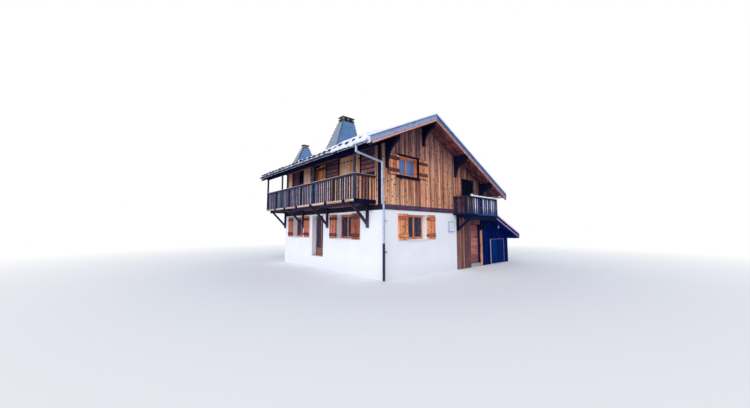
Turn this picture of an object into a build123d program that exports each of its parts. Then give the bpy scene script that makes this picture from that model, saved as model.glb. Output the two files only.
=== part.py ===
from build123d import *
import os

# Alpine chalet: a rendered ground storey, a timber upper storey with two balconies, a wide
# two-slope roof with clad chimneys, and a low boarded lean-to on the right.
# Millimetres. House frame: x runs right along the front gable from the left wall's outer face,
# y runs back from the gable's outer face, z runs up from the lowest ground.
# Every piece is shifted at the end so that the origin is the bottom centre of the whole.

# House plan and storeys
WIDTH = 7360
LENGTH = 9000
RENDERED_WALL = 400
TIMBER_WALL = 160
BOARDED_BAY = 2440
BOARDED_WALL = 200
MAIN_FLOOR_Z = 650
ENTRY_FLOOR_Z = 170
GROUND_WALL_TOP = 2765
BELT_TOP = 2976
FIRST_FLOOR_TOP = 2900
LOG_COURSE = 196
LOG_GROOVE = 12

# Roof
RIDGE_X = 2375
RIDGE_Z = 6946
ROOF_SLOPE = 0.467
ROOF_THICK = 190
EAVE_LEFT = 1420
EAVE_RIGHT = 1450
VERGE_FRONT = 740
VERGE_BACK = 350
VERGE_THICK = 50
VERGE_RISE = 45
VERGE_UPPER_DEPTH = 150
VERGE_LOWER_DEPTH = 290
VERGE_STEP = 20
GUTTER_R = 65
GUTTER_WALL = 4
GUTTER_BELOW = 90

# Purlins, with the height of each front console's foot
PURLIN_OUT_FRONT = 690
PURLIN_OUT_BACK = 300
PURLIN_DEPTH = 220
PURLIN_WIDTH = 180
MIDDLE_PURLIN_FROM_RIGHT = 2510
CONSOLE_THICK = 130
CONSOLE_REACH = 600
CONSOLE_LEG = 110
CONSOLE_NOSE = 70
CONSOLE_WAIST_OUT = 130
CONSOLE_FEET = {"left": 4420, "ridge": 5720, "middle": 4610, "right": 3640}

# Chimneys: the shaft top's left edge, width, distance from the back wall, depth and height,
# the cap's rise over it, and how far the left, right, front and back faces lean out for each
# unit down
CHIMNEY_LARGE = dict(
    left=1475, width=775, from_back=4000, depth=430, top=8150, cap_rise=290,
    lean=(0.29, 0.29, 0.03, 0.41))
CHIMNEY_SMALL = dict(
    left=397, width=343, from_back=1400, depth=260, top=6930, cap_rise=200,
    lean=(0.45, 0.45, 0.10, 0.25))
CAP_THICK = 60
CAP_OVER = 25
CAP_STUB = 70

# Doors: leaf thickness and gap round the leaf
LEAF = 50
DOOR_GAP = 15
ENTRANCE_WIDTH = 1000
ENTRANCE_HEAD = 2250
ENTRANCE_RECESS = 150
TERRACE_WIDTH = 1120
TERRACE_TO_WINDOW = 1020
TERRACE_HEAD = 2700
TERRACE_RECESS = 250
SHED_DOOR_WIDTH = 1600
SHED_DOOR_HEAD = 1400

# Door hinges: pins on the jamb, straps with knuckles on the leaf
PIN_R = 8
PIN_GAP = 0.3
KNUCKLE_R = 14
KNUCKLE_HEIGHT = 80
JAMB_TO_PIN = 20
STRAP_LENGTH = 300
STRAP_THICK = 5
HINGE_UP = 200
HINGE_DOWN = 280
HANDLE_IN = 70
HANDLE_LENGTH = 120
HANDLE_OUT = 50
HANDLE_UP = 1000
HANDLE_THICK = 25
PULL_HEIGHT = 150
PULL_UP = 650

# Windows: where the opening starts along its wall, its width, sill and head heights
FRONT_WINDOW = (1324, 1252, 1560, 2610)
GABLE_WINDOW = (763, 1277, 4230, 5050)
LEFT_FRONT_WINDOW = (2141, 1182, 1566, 2665)
REAR_WINDOW_FROM_BACK = 2310
LEFT_REAR_WINDOW = (LENGTH - REAR_WINDOW_FROM_BACK, 1255, 1566, 2700)
BACK_WINDOW = (3000, 1250, 1560, 2610)
BACK_GABLE_WINDOW = (1750, 1250, 4230, 5050)
UPPER_LEFT_WIDTH = 520
UPPER_LEFT_OFF_CENTRE = 295
UPPER_LEFT_SILL = 4050
UPPER_LEFT_HEAD = 5250
SHUTTER = 600
SHUTTER_THICK = 40
SHUTTER_OVER = 20
SHUTTER_PAST = 15
FRAME_BAR = 70
FRAME_THICK = 60
PANE = 20
RENDERED_REVEAL = 250
TIMBER_REVEAL = 90
SILL_THICK = 40
SILL_OUT = 60
HINGE_ARM = 12
HINGE_HEIGHT = 60
ARM_FROM_ENDS = 150

# Fixed doors of the upper storey: start, width, sill and head heights
PLANK_DOOR = (1550, 1620, 3150, 5360)
BALCONY_DOOR_FROM_BACK = 2200
BALCONY_DOOR = (LENGTH - BALCONY_DOOR_FROM_BACK, 1270, 3150, 5350)
BALCONY_LEAF = 640
GABLE_DOOR_FROM_RIGHT = 1930
GABLE_DOOR_WIDTH = 1180
GABLE_DOOR_UNDER_ROOF = 168
DOOR_SET_BACK = 60

# Left balcony
BALCONY_OUT = 1120
BALCONY_START = 500
BALCONY_PAST_BACK = 280
DECK_TOP = 3150
DECK_THICK = 60
BALCONY_RAIL_TOP = 4150
POST = 80
ROOF_POSTS = (540, 3710)
ROOF_POSTS_FROM_BACK = (1840, -200)
RAIL_POSTS = (2070, 4940)
RAIL_POSTS_FROM_BACK = (2700, 1020)
PLATE_DEPTH = 160
BRACKETS = (1000, 4100)
BRACKETS_FROM_BACK = (2380, 50)
BRACKET_FOOT = 2050
BRACKET_THICK = 100
BEAM_FROM_WALL = 740
BEAM_WIDTH = 120
BEAM_DEPTH = 140
JOIST_PAST_BEAM = 120
STRUT_RISE = 120
STRUT_DEPTH = 140

# Gable balcony
GABLE_DECK_FROM_RIGHT = 2720
GABLE_DECK_PAST_RIGHT = 380
GABLE_OUT = 775
GABLE_DECK_TOP = 2750
GABLE_RAIL_TOP = 3610
GABLE_BRACKETS_FROM_RIGHT = (2380, 130)
GABLE_BRACKET_FOOT = 1930
GABLE_BEAM_FROM_WALL = 600
GABLE_BEAM_DEPTH = 240
GABLE_STRUT_RISE = 20

# Railings of cut boards: board pitch, then the slot at each joint as share of height and
# half width
LEFT_BOARDS = (160, ((0.03, 8), (0.11, 26), (0.22, 8), (0.50, 30), (0.76, 8), (0.87, 26), (0.96, 8)))
GABLE_BOARDS = (200, ((0.05, 9), (0.20, 38), (0.50, 42), (0.66, 9), (0.80, 34), (0.94, 9)))
BOARD_THICK = 30
RAIL_THICK = 60
RAIL_WIDTH = 110

# Lean-to
SHED_DOOR_FROM_HOUSE = 980
SHED_CORNER_PANEL = 560
SHED_LENGTH = 4500
SHED_WALL = 100
SHED_EAVE_OUT = 550
SHED_EAVE_TOP = 1650
SHED_EAVE_LOW = 1430
SHED_SLOPE = 0.38
SHED_ROOF_THICK = 120
SHED_VERGE = 500
SHED_VERGE_PAST_BALCONY = 120

# Services
METER_BOX_FROM_BAY = 730
METER_BOX_SIZE = 490
METER_BOX_Z = 1860
METER_DEPTH = 70
PIPE_R = 42
PIPE_SHOE_R = 52
PIPE_SHOE_TOP = 1450
PIPE_FOOT = 40
PIPE_OUTLET_Y = -80
PIPE_DROP_Z = 4800
PIPE_CORNER = (-230, -100)
PIPE_CORNER_TOP = 4590
PIPE_LOWER = (-110, -60)
PIPE_JOG = (3080, 2950)
PIPE_CLIPS_Z = (2300, 1100)
CLIP = 30


def roof_top(x):
    """Height of the roof's upper surface above a point of the plan."""
    return RIDGE_Z - ROOF_SLOPE * abs(x - RIDGE_X)


def roof_under(x):
    """Height of the roof's lower surface."""
    return roof_top(x) - ROOF_THICK


def from_both_ends(front, back):
    """Places along the house, given from its front and from its back."""
    return front + tuple(LENGTH - inset for inset in back)


# Places that follow from the sizes above
INNER_RIGHT = WIDTH - TIMBER_WALL
BAY_X = WIDTH - BOARDED_BAY
ENTRANCE_X = (INNER_RIGHT - ENTRANCE_WIDTH, INNER_RIGHT)
TERRACE_Y = (
    LEFT_REAR_WINDOW[0] - TERRACE_TO_WINDOW - TERRACE_WIDTH,
    LEFT_REAR_WINDOW[0] - TERRACE_TO_WINDOW)
UPPER_LEFT_WINDOW = (
    (PLANK_DOOR[0] + PLANK_DOOR[1] + BALCONY_DOOR[0] - BALCONY_LEAF) / 2 + UPPER_LEFT_OFF_CENTRE,
    UPPER_LEFT_WIDTH, UPPER_LEFT_SILL, UPPER_LEFT_HEAD)
GABLE_DOOR_X = WIDTH - GABLE_DOOR_FROM_RIGHT
GABLE_DOOR = (
    GABLE_DOOR_X, GABLE_DOOR_WIDTH, FIRST_FLOOR_TOP,
    roof_under(GABLE_DOOR_X + GABLE_DOOR_WIDTH) - GABLE_DOOR_UNDER_ROOF)
BALCONY_Y = (BALCONY_START, LENGTH + BALCONY_PAST_BACK)
ROOF_POSTS_Y = from_both_ends(ROOF_POSTS, ROOF_POSTS_FROM_BACK)
RAIL_POSTS_Y = from_both_ends(RAIL_POSTS, RAIL_POSTS_FROM_BACK)
BRACKETS_Y = from_both_ends(BRACKETS, BRACKETS_FROM_BACK)
GABLE_DECK_X = (WIDTH - GABLE_DECK_FROM_RIGHT, WIDTH + GABLE_DECK_PAST_RIGHT)
GABLE_BRACKETS_X = tuple(WIDTH - inset for inset in GABLE_BRACKETS_FROM_RIGHT)
EAVE_LEFT_X = -EAVE_LEFT
EAVE_RIGHT_X = WIDTH + EAVE_RIGHT
ROOF_Y = (-VERGE_FRONT, LENGTH + VERGE_BACK)
SHED_DOOR_X = (WIDTH + SHED_DOOR_FROM_HOUSE, WIDTH + SHED_DOOR_FROM_HOUSE + SHED_DOOR_WIDTH)
SHED_RIGHT_X = SHED_DOOR_X[1] + SHED_CORNER_PANEL
SHED_EAVE_X = SHED_RIGHT_X + SHED_EAVE_OUT
RAIL_X = RAIL_WIDTH - BALCONY_OUT
GABLE_RAIL_Y = RAIL_WIDTH - GABLE_OUT
LOW_X = EAVE_LEFT_X - 2 * GUTTER_R
LOW_Y = ROOF_Y[0] - VERGE_THICK - VERGE_STEP
HIGH_Y = ROOF_Y[1] + VERGE_THICK + VERGE_STEP
SHIFT = Vector(-(LOW_X + SHED_EAVE_X) / 2, -(LOW_Y + HIGH_Y) / 2, 0)


# Basic solids

def block(x0, x1, y0, y1, z0, z1):
    """Box between two corners."""
    return Pos((x0 + x1) / 2, (y0 + y1) / 2, (z0 + z1) / 2) * Box(x1 - x0, y1 - y0, z1 - z0)


def along_y(outline, y0, y1):
    """Prism of an (x, z) outline between two y values."""
    wire = Wire.make_polygon([Vector(x, y0, z) for x, z in outline], close=True)
    return Solid.extrude(Face(wire), Vector(0, y1 - y0, 0))


def along_x(outline, x0, x1):
    """Prism of a (y, z) outline between two x values."""
    wire = Wire.make_polygon([Vector(x0, y, z) for y, z in outline], close=True)
    return Solid.extrude(Face(wire), Vector(x1 - x0, 0, 0))


def joined(shape, others):
    for other in others:
        shape += other
    return shape


def under_roof(x0, x1, z0):
    """Outline between two x values from z0 up to the roof's lower surface."""
    top = [(x1, roof_under(x1)), (x0, roof_under(x0))]
    if x0 < RIDGE_X < x1:
        top.insert(1, (RIDGE_X, roof_under(RIDGE_X)))
    return [(x0, z0), (x1, z0)] + top


# Walls face four ways. A piece of a wall is drawn as on the front wall and then put in place.

def on_left(shape):
    """From the front wall's frame to the left wall: x becomes y and depth becomes x."""
    return (Rot(0, 0, 90) * shape).mirror(Plane.YZ)


def on_back(shape):
    """From the front wall's frame to the back wall."""
    return Pos(0, LENGTH, 0) * shape.mirror(Plane.XZ)


def hole(opening):
    """Cutter for an opening, drawn on the front wall."""
    start, width, z0, z1 = opening
    return block(start, start + width, -LOG_GROOVE, RENDERED_WALL + LOG_GROOVE, z0, z1)


# Hinges, drawn about a pin at the origin with the leaf along +x and its face at y = -KNUCKLE_R

def hinge_heights(z0, z1):
    """Heights of a leaf's lower and upper hinge."""
    return z0 + HINGE_UP, z1 - HINGE_DOWN


def straps(z0, z1):
    """Straps and knuckles that a leaf carries."""
    made = []
    for z in hinge_heights(z0, z1):
        strap = block(0, STRAP_LENGTH, -KNUCKLE_R, STRAP_THICK - KNUCKLE_R, z, z + KNUCKLE_HEIGHT)
        middle = Pos(0, 0, z + KNUCKLE_HEIGHT / 2)
        knuckle = middle * Cylinder(KNUCKLE_R, KNUCKLE_HEIGHT)
        made.append(strap + knuckle - middle * Cylinder(PIN_R + PIN_GAP, KNUCKLE_HEIGHT))
    return made


def pins(z0, z1, on_face=False):
    """Pins on arms that the jamb carries; on_face adds a pad for a wall flush with the leaf."""
    made = []
    for z in hinge_heights(z0, z1):
        low, high = z - JAMB_TO_PIN, z + KNUCKLE_HEIGHT
        pin = Pos(0, 0, (low + high) / 2) * Cylinder(PIN_R, high - low)
        pin += block(-JAMB_TO_PIN, 0, -PIN_R, PIN_R, low, z - PIN_GAP)
        if on_face:
            pin += block(-3 * JAMB_TO_PIN, -JAMB_TO_PIN, -KNUCKLE_R, PIN_R, low, z - PIN_GAP)
        made.append(pin)
    return made


def at_entrance(shapes):
    """To the entrance's right jamb, with the leaf running left and opening inwards."""
    place = Pos(ENTRANCE_X[1] - JAMB_TO_PIN, ENTRANCE_RECESS + LEAF + KNUCKLE_R)
    return [place * shape.mirror(Plane.YZ) for shape in shapes]


def at_terrace(shapes):
    """To the terrace doorway's front jamb, with the leaf running back and opening inwards."""
    place = Pos(TERRACE_RECESS + LEAF + KNUCKLE_R, TERRACE_Y[0] + JAMB_TO_PIN) * Rot(0, 0, 90)
    return [place * shape.mirror(Plane.XZ) for shape in shapes]


def at_shed(shapes):
    """To the lean-to doorway's left jamb, with the leaf opening outwards."""
    place = Pos(SHED_DOOR_X[0] + JAMB_TO_PIN, -KNUCKLE_R)
    return [place * shape.mirror(Plane.XZ) for shape in shapes]


# Ground storey

def front_wall():
    return block(0, BAY_X, 0, RENDERED_WALL, 0, GROUND_WALL_TOP) - hole(FRONT_WINDOW)


def entrance_wall():
    return block(BAY_X, ENTRANCE_X[0], 0, BOARDED_WALL, 0, GROUND_WALL_TOP)


def entrance_lintel():
    return block(*ENTRANCE_X, 0, BOARDED_WALL, ENTRANCE_HEAD, GROUND_WALL_TOP)


def left_wall_front():
    wall = block(0, RENDERED_WALL, RENDERED_WALL, TERRACE_Y[0], 0, GROUND_WALL_TOP)
    wall -= on_left(hole(LEFT_FRONT_WINDOW))
    return joined(wall, at_terrace(pins(MAIN_FLOOR_Z, TERRACE_HEAD)))


def left_wall_rear():
    end = LENGTH - RENDERED_WALL
    wall = block(0, RENDERED_WALL, TERRACE_Y[1], end, 0, GROUND_WALL_TOP)
    return wall - on_left(hole(LEFT_REAR_WINDOW))


def left_wall_lintel():
    return block(0, RENDERED_WALL, *TERRACE_Y, TERRACE_HEAD, GROUND_WALL_TOP)


def back_wall():
    wall = block(0, INNER_RIGHT, LENGTH - RENDERED_WALL, LENGTH, 0, GROUND_WALL_TOP)
    return wall - on_back(hole(BACK_WINDOW))


def right_wall():
    """Boarded wall of both storeys, up to the roof's right plate."""
    wall = block(INNER_RIGHT, WIDTH, 0, LENGTH, 0, purlin_bottom("right"))
    return joined(wall, at_entrance(pins(ENTRY_FLOOR_Z, ENTRANCE_HEAD)))


def ground_floor():
    """Raised floor of the main room, with the entry bay a step below it and both door sills."""
    inner_y = (RENDERED_WALL, LENGTH - RENDERED_WALL)
    main = block(RENDERED_WALL, BAY_X, *inner_y, 0, MAIN_FLOOR_Z)
    entry = block(BAY_X, INNER_RIGHT, BOARDED_WALL, inner_y[1], 0, ENTRY_FLOOR_Z)
    entry_sill = block(*ENTRANCE_X, 0, BOARDED_WALL, 0, ENTRY_FLOOR_Z)
    terrace_sill = block(0, RENDERED_WALL, *TERRACE_Y, 0, MAIN_FLOOR_Z)
    return main + entry + entry_sill + terrace_sill


# Upper storey

def first_floor():
    inner_y = (TIMBER_WALL, LENGTH - TIMBER_WALL)
    return block(TIMBER_WALL, INNER_RIGHT, *inner_y, GROUND_WALL_TOP, FIRST_FLOOR_TOP)


def belt_beams():
    """Squared beams on the rendered walls, front, left and back."""
    front = block(0, BAY_X, 0, TIMBER_WALL, GROUND_WALL_TOP, BELT_TOP)
    left = block(0, TIMBER_WALL, 0, LENGTH, GROUND_WALL_TOP, BELT_TOP)
    back = block(0, INNER_RIGHT, LENGTH - TIMBER_WALL, LENGTH, GROUND_WALL_TOP, BELT_TOP)
    return front + left + back


def gable_wall_front():
    wall = along_y(under_roof(0, INNER_RIGHT, BELT_TOP), 0, TIMBER_WALL)
    wall += block(BAY_X, INNER_RIGHT, 0, TIMBER_WALL, GROUND_WALL_TOP, BELT_TOP)
    return wall - hole(GABLE_WINDOW) - hole(GABLE_DOOR) - purlin_bars()


def gable_wall_back():
    wall = along_y(under_roof(0, INNER_RIGHT, BELT_TOP), LENGTH - TIMBER_WALL, LENGTH)
    return wall - on_back(hole(BACK_GABLE_WINDOW)) - purlin_bars()


def upper_left_wall():
    """Wall of squared logs, with a groove between the courses."""
    top = purlin_bottom("left")
    inner_y = (TIMBER_WALL, LENGTH - TIMBER_WALL)
    wall = block(0, TIMBER_WALL, *inner_y, BELT_TOP, top)
    z = BELT_TOP + LOG_COURSE
    while z < top - LOG_GROOVE:
        groove = [(0, z - LOG_GROOVE), (LOG_GROOVE, z), (0, z + LOG_GROOVE)]
        wall -= along_y(groove, *inner_y)
        z += LOG_COURSE
    for opening in (PLANK_DOOR, UPPER_LEFT_WINDOW, BALCONY_DOOR):
        wall -= on_left(hole(opening))
    return wall


# Roof

def roof_slope(x_eave):
    """One slope as a slab from its eave to the ridge."""
    outline = [
        (x_eave, roof_under(x_eave)), (RIDGE_X, roof_under(RIDGE_X)),
        (RIDGE_X, RIDGE_Z), (x_eave, roof_top(x_eave)),
    ]
    return along_y(outline, *ROOF_Y)


def purlin_span(name):
    """Low and high x of a purlin."""
    half = PURLIN_WIDTH / 2
    middle = WIDTH - MIDDLE_PURLIN_FROM_RIGHT
    spans = {
        "left": (0, TIMBER_WALL),
        "ridge": (RIDGE_X - half, RIDGE_X + half),
        "middle": (middle - half, middle + half),
        "right": (INNER_RIGHT, WIDTH),
    }
    return spans[name]


def purlin_bottom(name):
    x0, x1 = purlin_span(name)
    return min(roof_under(x0), roof_under(x1)) - PURLIN_DEPTH


def purlin_bar(name):
    outline = under_roof(*purlin_span(name), purlin_bottom(name))
    return along_y(outline, -PURLIN_OUT_FRONT, LENGTH + PURLIN_OUT_BACK)


def purlin_bars():
    """All the purlins, for the notches that they lie in."""
    return [purlin_bar(name) for name in CONSOLE_FEET]


def console(name):
    """Curved knee that carries a purlin's front end."""
    x_low = (sum(purlin_span(name)) - CONSOLE_THICK) / 2
    foot, head = CONSOLE_FEET[name], purlin_bottom(name)
    corner = Vector(x_low, 0, foot)
    toe = Vector(x_low, -CONSOLE_LEG, foot)
    waist = Vector(x_low, -CONSOLE_LEG - CONSOLE_WAIST_OUT, foot + 0.62 * (head - foot))
    nose_low = Vector(x_low, -CONSOLE_REACH, head - CONSOLE_NOSE)
    nose = Vector(x_low, -CONSOLE_REACH, head)
    back = Vector(x_low, 0, head)
    wire = Wire([
        Line(corner, toe), ThreePointArc(toe, waist, nose_low),
        Line(nose_low, nose), Line(nose, back), Line(back, corner),
    ])
    return Solid.extrude(Face(wire), Vector(CONSOLE_THICK, 0, 0))


def purlin(name):
    return purlin_bar(name) + console(name)


def verge_band(depth, y0, y1):
    """Board across both slopes, from just above the roof down to a depth."""
    xs = (EAVE_LEFT_X, RIDGE_X, EAVE_RIGHT_X)
    outline = [(x, roof_top(x) + VERGE_RISE) for x in xs]
    outline += [(x, roof_top(x) - depth) for x in reversed(xs)]
    return along_y(outline, y0, y1)


def verge(y_roof, outward):
    """Stepped verge board in front of the roof's end."""
    faces = [y_roof, y_roof + outward * VERGE_THICK, y_roof + outward * (VERGE_THICK + VERGE_STEP)]
    lower = verge_band(VERGE_LOWER_DEPTH, *sorted(faces[:2]))
    return lower + verge_band(VERGE_UPPER_DEPTH, *sorted(faces[1:]))


def trough_axis(x_eave, outward):
    """Middle of a gutter's half round, as x and z."""
    return x_eave + outward * GUTTER_R, roof_top(x_eave) - GUTTER_BELOW


def gutter(x_eave, outward):
    """Half-round trough along an eave."""
    x_mid, z_mid = trough_axis(x_eave, outward)
    length = ROOF_Y[1] - ROOF_Y[0]
    place = Pos(x_mid, sum(ROOF_Y) / 2, z_mid) * Rot(90, 0, 0)
    ring = place * (Cylinder(GUTTER_R, length) - Cylinder(GUTTER_R - GUTTER_WALL, length))
    return ring - block(x_mid - GUTTER_R, x_mid + GUTTER_R, *ROOF_Y, z_mid, z_mid + GUTTER_R)


def pipe_run(start, end, radius):
    run = Vector(*end) - Vector(*start)
    plane = Plane(origin=start, z_dir=run)
    return plane * Pos(0, 0, run.length / 2) * Cylinder(radius, run.length)


def downpipe():
    """Pipe from the left gutter to the corner, with an iron shoe at its foot and two clips."""
    gutter_x, gutter_z = trough_axis(EAVE_LEFT_X, -1)
    route = [
        (gutter_x, PIPE_OUTLET_Y, gutter_z - GUTTER_R / 2), (gutter_x, PIPE_OUTLET_Y, PIPE_DROP_Z),
        (*PIPE_CORNER, PIPE_CORNER_TOP), (*PIPE_CORNER, PIPE_JOG[0]),
        (*PIPE_LOWER, PIPE_JOG[1]), (*PIPE_LOWER, PIPE_FOOT),
    ]
    pipe = pipe_run((*PIPE_LOWER, PIPE_FOOT), (*PIPE_LOWER, PIPE_SHOE_TOP), PIPE_SHOE_R)
    for start, end in zip(route, route[1:]):
        pipe += pipe_run(start, end, PIPE_R)
    for bend in route[1:-1]:
        pipe += Pos(*bend) * Sphere(PIPE_R)
    for z in PIPE_CLIPS_Z:
        x, y = PIPE_LOWER
        pipe += block(x, 2 * CLIP, y - CLIP / 2, y + CLIP / 2, z, z + CLIP)
        pipe += block(CLIP, 2 * CLIP, y, 0, z, z + CLIP)
    length = ROOF_Y[1] - ROOF_Y[0]
    return pipe - Pos(gutter_x, 0, gutter_z) * Rot(90, 0, 0) * Cylinder(GUTTER_R, 2 * length)


def chimney(left, width, from_back, depth, top, cap_rise, lean):
    """Tapered clad shaft that stands on the roof, with a cap on four stubs."""
    x = (left, left + width)
    y = (LENGTH - from_back, LENGTH - from_back + depth)
    cap = top + cap_rise
    low = min(roof_top(x[0] - EAVE_LEFT), roof_top(x[1] + EAVE_LEFT))
    drop = top - low
    spread_x = [(x[0] - lean[0] * drop, low), (x[1] + lean[1] * drop, low), (x[1], top), (x[0], top)]
    spread_y = [(y[0] - lean[2] * drop, low), (y[1] + lean[3] * drop, low), (y[1], top), (y[0], top)]
    x_range = (spread_x[0][0], spread_x[1][0])
    y_range = (spread_y[0][0], spread_y[1][0])
    above = [(v, roof_top(v)) for v in sorted((*x_range, RIDGE_X)) if x_range[0] <= v <= x_range[1]]
    above += [(x_range[1], top), (x_range[0], top)]
    shaft = along_y(spread_x, *y_range) & along_x(spread_y, *x_range) & along_y(above, *y_range)
    for stub_x in (x[0], x[1] - CAP_STUB):
        for stub_y in (y[0], y[1] - CAP_STUB):
            shaft += block(stub_x, stub_x + CAP_STUB, stub_y, stub_y + CAP_STUB, top, cap - CAP_THICK)
    return shaft + block(
        x[0] - CAP_OVER, x[1] + CAP_OVER, y[0] - CAP_OVER, y[1] + CAP_OVER, cap - CAP_THICK, cap)


# Windows and doors, drawn on the front wall

def folded_leaf(edge, side, width, reveal, z0, z1, arm_in):
    """Shutter or door leaf folded back on the wall, with the hinge arms that carry it."""
    far, near = edge + side * width, edge - side * HINGE_ARM
    made = [block(*sorted((edge, far)), -SHUTTER_THICK, 0, z0, z1)]
    for z in (z0 + arm_in, z1 - arm_in):
        made.append(block(*sorted((edge, near)), -SHUTTER_THICK, reveal, z, z + HINGE_HEIGHT))
    return made


def window(opening, reveal, shutters=(SHUTTER, SHUTTER)):
    """Casement with its middle bar, pane and sill, and the shutters given by their widths."""
    start, width, z0, z1 = opening
    end = start + width
    back = reveal + FRAME_THICK
    frame = block(start, end, reveal, back, z0, z1)
    frame -= block(start + FRAME_BAR, end - FRAME_BAR, reveal, back, z0 + FRAME_BAR, z1 - FRAME_BAR)
    middle = (start + end) / 2
    frame += block(middle - FRAME_BAR / 2, middle + FRAME_BAR / 2, reveal, back, z0, z1)
    frame += block(start, end, reveal + PANE, reveal + 2 * PANE, z0, z1)
    frame += block(start, end, -SILL_OUT, reveal, z0, z0 + SILL_THICK)
    low, high = z0 - SHUTTER_OVER, z1 + SHUTTER_OVER
    for side, edge, leaf in ((-1, start, shutters[0]), (1, end, shutters[1])):
        if leaf:
            frame = joined(frame, folded_leaf(edge, side, leaf, reveal, low, high, ARM_FROM_ENDS))
    return frame


def left_loose_shutter():
    """The rear window's other shutter, which lies on the wall past a balcony bracket."""
    z0, z1 = LEFT_REAR_WINDOW[2:]
    end = BRACKETS_Y[2] - BRACKET_THICK / 2 - SHUTTER_PAST
    return on_left(block(end - SHUTTER, end, -SHUTTER_THICK, 0, z0 - SHUTTER_OVER, z1 + SHUTTER_OVER))


def fixed_leaf(opening):
    start, width, z0, z1 = opening
    return block(start, start + width, DOOR_SET_BACK, DOOR_SET_BACK + LEAF, z0, z1)


def balcony_door():
    """Fixed leaf in the opening, with two board leaves folded back on the wall."""
    start, width, z0, z1 = BALCONY_DOOR
    door = fixed_leaf(BALCONY_DOOR)
    for side, edge in ((-1, start), (1, start + width)):
        leaves = folded_leaf(edge, side, BALCONY_LEAF, DOOR_SET_BACK, z0, z1, HINGE_DOWN)
        door = joined(door, leaves)
    return on_left(door)


def lever(start, z0):
    """Lever handle on the outer face of a leaf whose face is at y = 0."""
    z = z0 + HANDLE_UP
    return block(start, start + HANDLE_LENGTH, -HANDLE_OUT, 0, z, z + HANDLE_THICK)


def entrance_door():
    x0, x1 = ENTRANCE_X[0] + DOOR_GAP, ENTRANCE_X[1] - DOOR_GAP
    z0, z1 = ENTRY_FLOOR_Z + DOOR_GAP, ENTRANCE_HEAD - DOOR_GAP
    leaf = block(x0, x1, 0, LEAF, z0, z1) + lever(x0 + HANDLE_IN, z0)
    leaf = Pos(0, ENTRANCE_RECESS, 0) * leaf
    return joined(leaf, at_entrance(straps(ENTRY_FLOOR_Z, ENTRANCE_HEAD)))


def terrace_door():
    y0, y1 = TERRACE_Y[0] + DOOR_GAP, TERRACE_Y[1] - DOOR_GAP
    z0, z1 = MAIN_FLOOR_Z + DOOR_GAP, TERRACE_HEAD - DOOR_GAP
    leaf = block(y0, y1, 0, LEAF, z0, z1) + lever(y1 - HANDLE_IN - HANDLE_LENGTH, z0)
    leaf = on_left(Pos(0, TERRACE_RECESS, 0) * leaf)
    return joined(leaf, at_terrace(straps(MAIN_FLOOR_Z, TERRACE_HEAD)))


def shed_door():
    x0, x1 = SHED_DOOR_X[0] + DOOR_GAP, SHED_DOOR_X[1] - DOOR_GAP
    leaf = block(x0, x1, 0, LEAF, 2 * DOOR_GAP, SHED_DOOR_HEAD - DOOR_GAP)
    pull_x = x1 - HANDLE_LENGTH
    leaf += block(pull_x, pull_x + HANDLE_THICK, -HANDLE_OUT, 0, PULL_UP, PULL_UP + PULL_HEIGHT)
    return joined(leaf, at_shed(straps(0, SHED_DOOR_HEAD)))


# Balconies

def cut_boards(length, height, style):
    """Boards from (0, 0), with a shaped slot at each joint."""
    corners = [Vector(0, 0), Vector(length, 0), Vector(length, height), Vector(0, height)]
    pitch, profile = style
    count = int(length // pitch)
    slots = []
    for index in range(1, count):
        middle = index * length / count
        side = [(middle + half, part * height) for part, half in profile]
        other = [(middle - half, part * height) for part, half in reversed(profile)]
        slots.append(Wire.make_polygon([Vector(u, v) for u, v in side + other], close=True))
    return Solid.extrude(Face(Wire.make_polygon(corners, close=True), slots), Vector(0, 0, BOARD_THICK))


def railing(start, end, z0, z1, style, posts=()):
    """Boards, handrail and outer posts, drawn along x with the handrail's inner face at y = 0."""
    boards = Plane(origin=(start, 0, z0), x_dir=(1, 0, 0), z_dir=(0, -1, 0))
    rail = boards * cut_boards(end - start, z1 - RAIL_THICK - z0, style)
    rail += block(start, end, -RAIL_WIDTH, 0, z1 - RAIL_THICK, z1)
    for post in posts:
        x0, x1 = post - POST / 2, post + POST / 2
        rail += block(x0, x1, -BOARD_THICK - POST, -BOARD_THICK, z0, z1 - RAIL_THICK)
    return rail


def plate_bottom():
    return roof_under(-BALCONY_OUT) - PLATE_DEPTH


def roof_post_blocks():
    """The posts that stand on the balcony and carry its plate."""
    x0, top = -BALCONY_OUT, plate_bottom()
    return [block(x0, x0 + POST, y - POST / 2, y + POST / 2, DECK_TOP, top) for y in ROOF_POSTS_Y]


def balcony_posts():
    """Roof posts and the plate on them."""
    outline = under_roof(-BALCONY_OUT, -BALCONY_OUT + POST, plate_bottom())
    plate = along_y(outline, -PURLIN_OUT_FRONT, LENGTH + PURLIN_OUT_BACK)
    return joined(plate, roof_post_blocks())


def left_balcony_deck():
    return block(-BALCONY_OUT, 0, *BALCONY_Y, DECK_TOP - DECK_THICK, DECK_TOP)


def bracket_frame(places, span, foot, top, beam_in, beam_depth, reach, rise):
    """Beam under a deck's outer edge, on wall brackets with diagonal struts, drawn on the front."""
    beam_top, beam_low = top, top - beam_depth
    frame = block(*span, -beam_in - BEAM_WIDTH, -beam_in, beam_low, beam_top)
    for place in places:
        x0, x1 = place - BRACKET_THICK / 2, place + BRACKET_THICK / 2
        frame += block(x0, x1, -BRACKET_THICK, 0, foot, beam_top)
        frame += block(x0, x1, -reach, 0, beam_top - BEAM_DEPTH, beam_top)
        strut = [
            (-BRACKET_THICK, foot + rise), (-BRACKET_THICK, foot + rise + STRUT_DEPTH),
            (-beam_in, beam_low), (-beam_in - BEAM_WIDTH, beam_low),
        ]
        frame += along_x(strut, x0, x1)
    return frame


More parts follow.
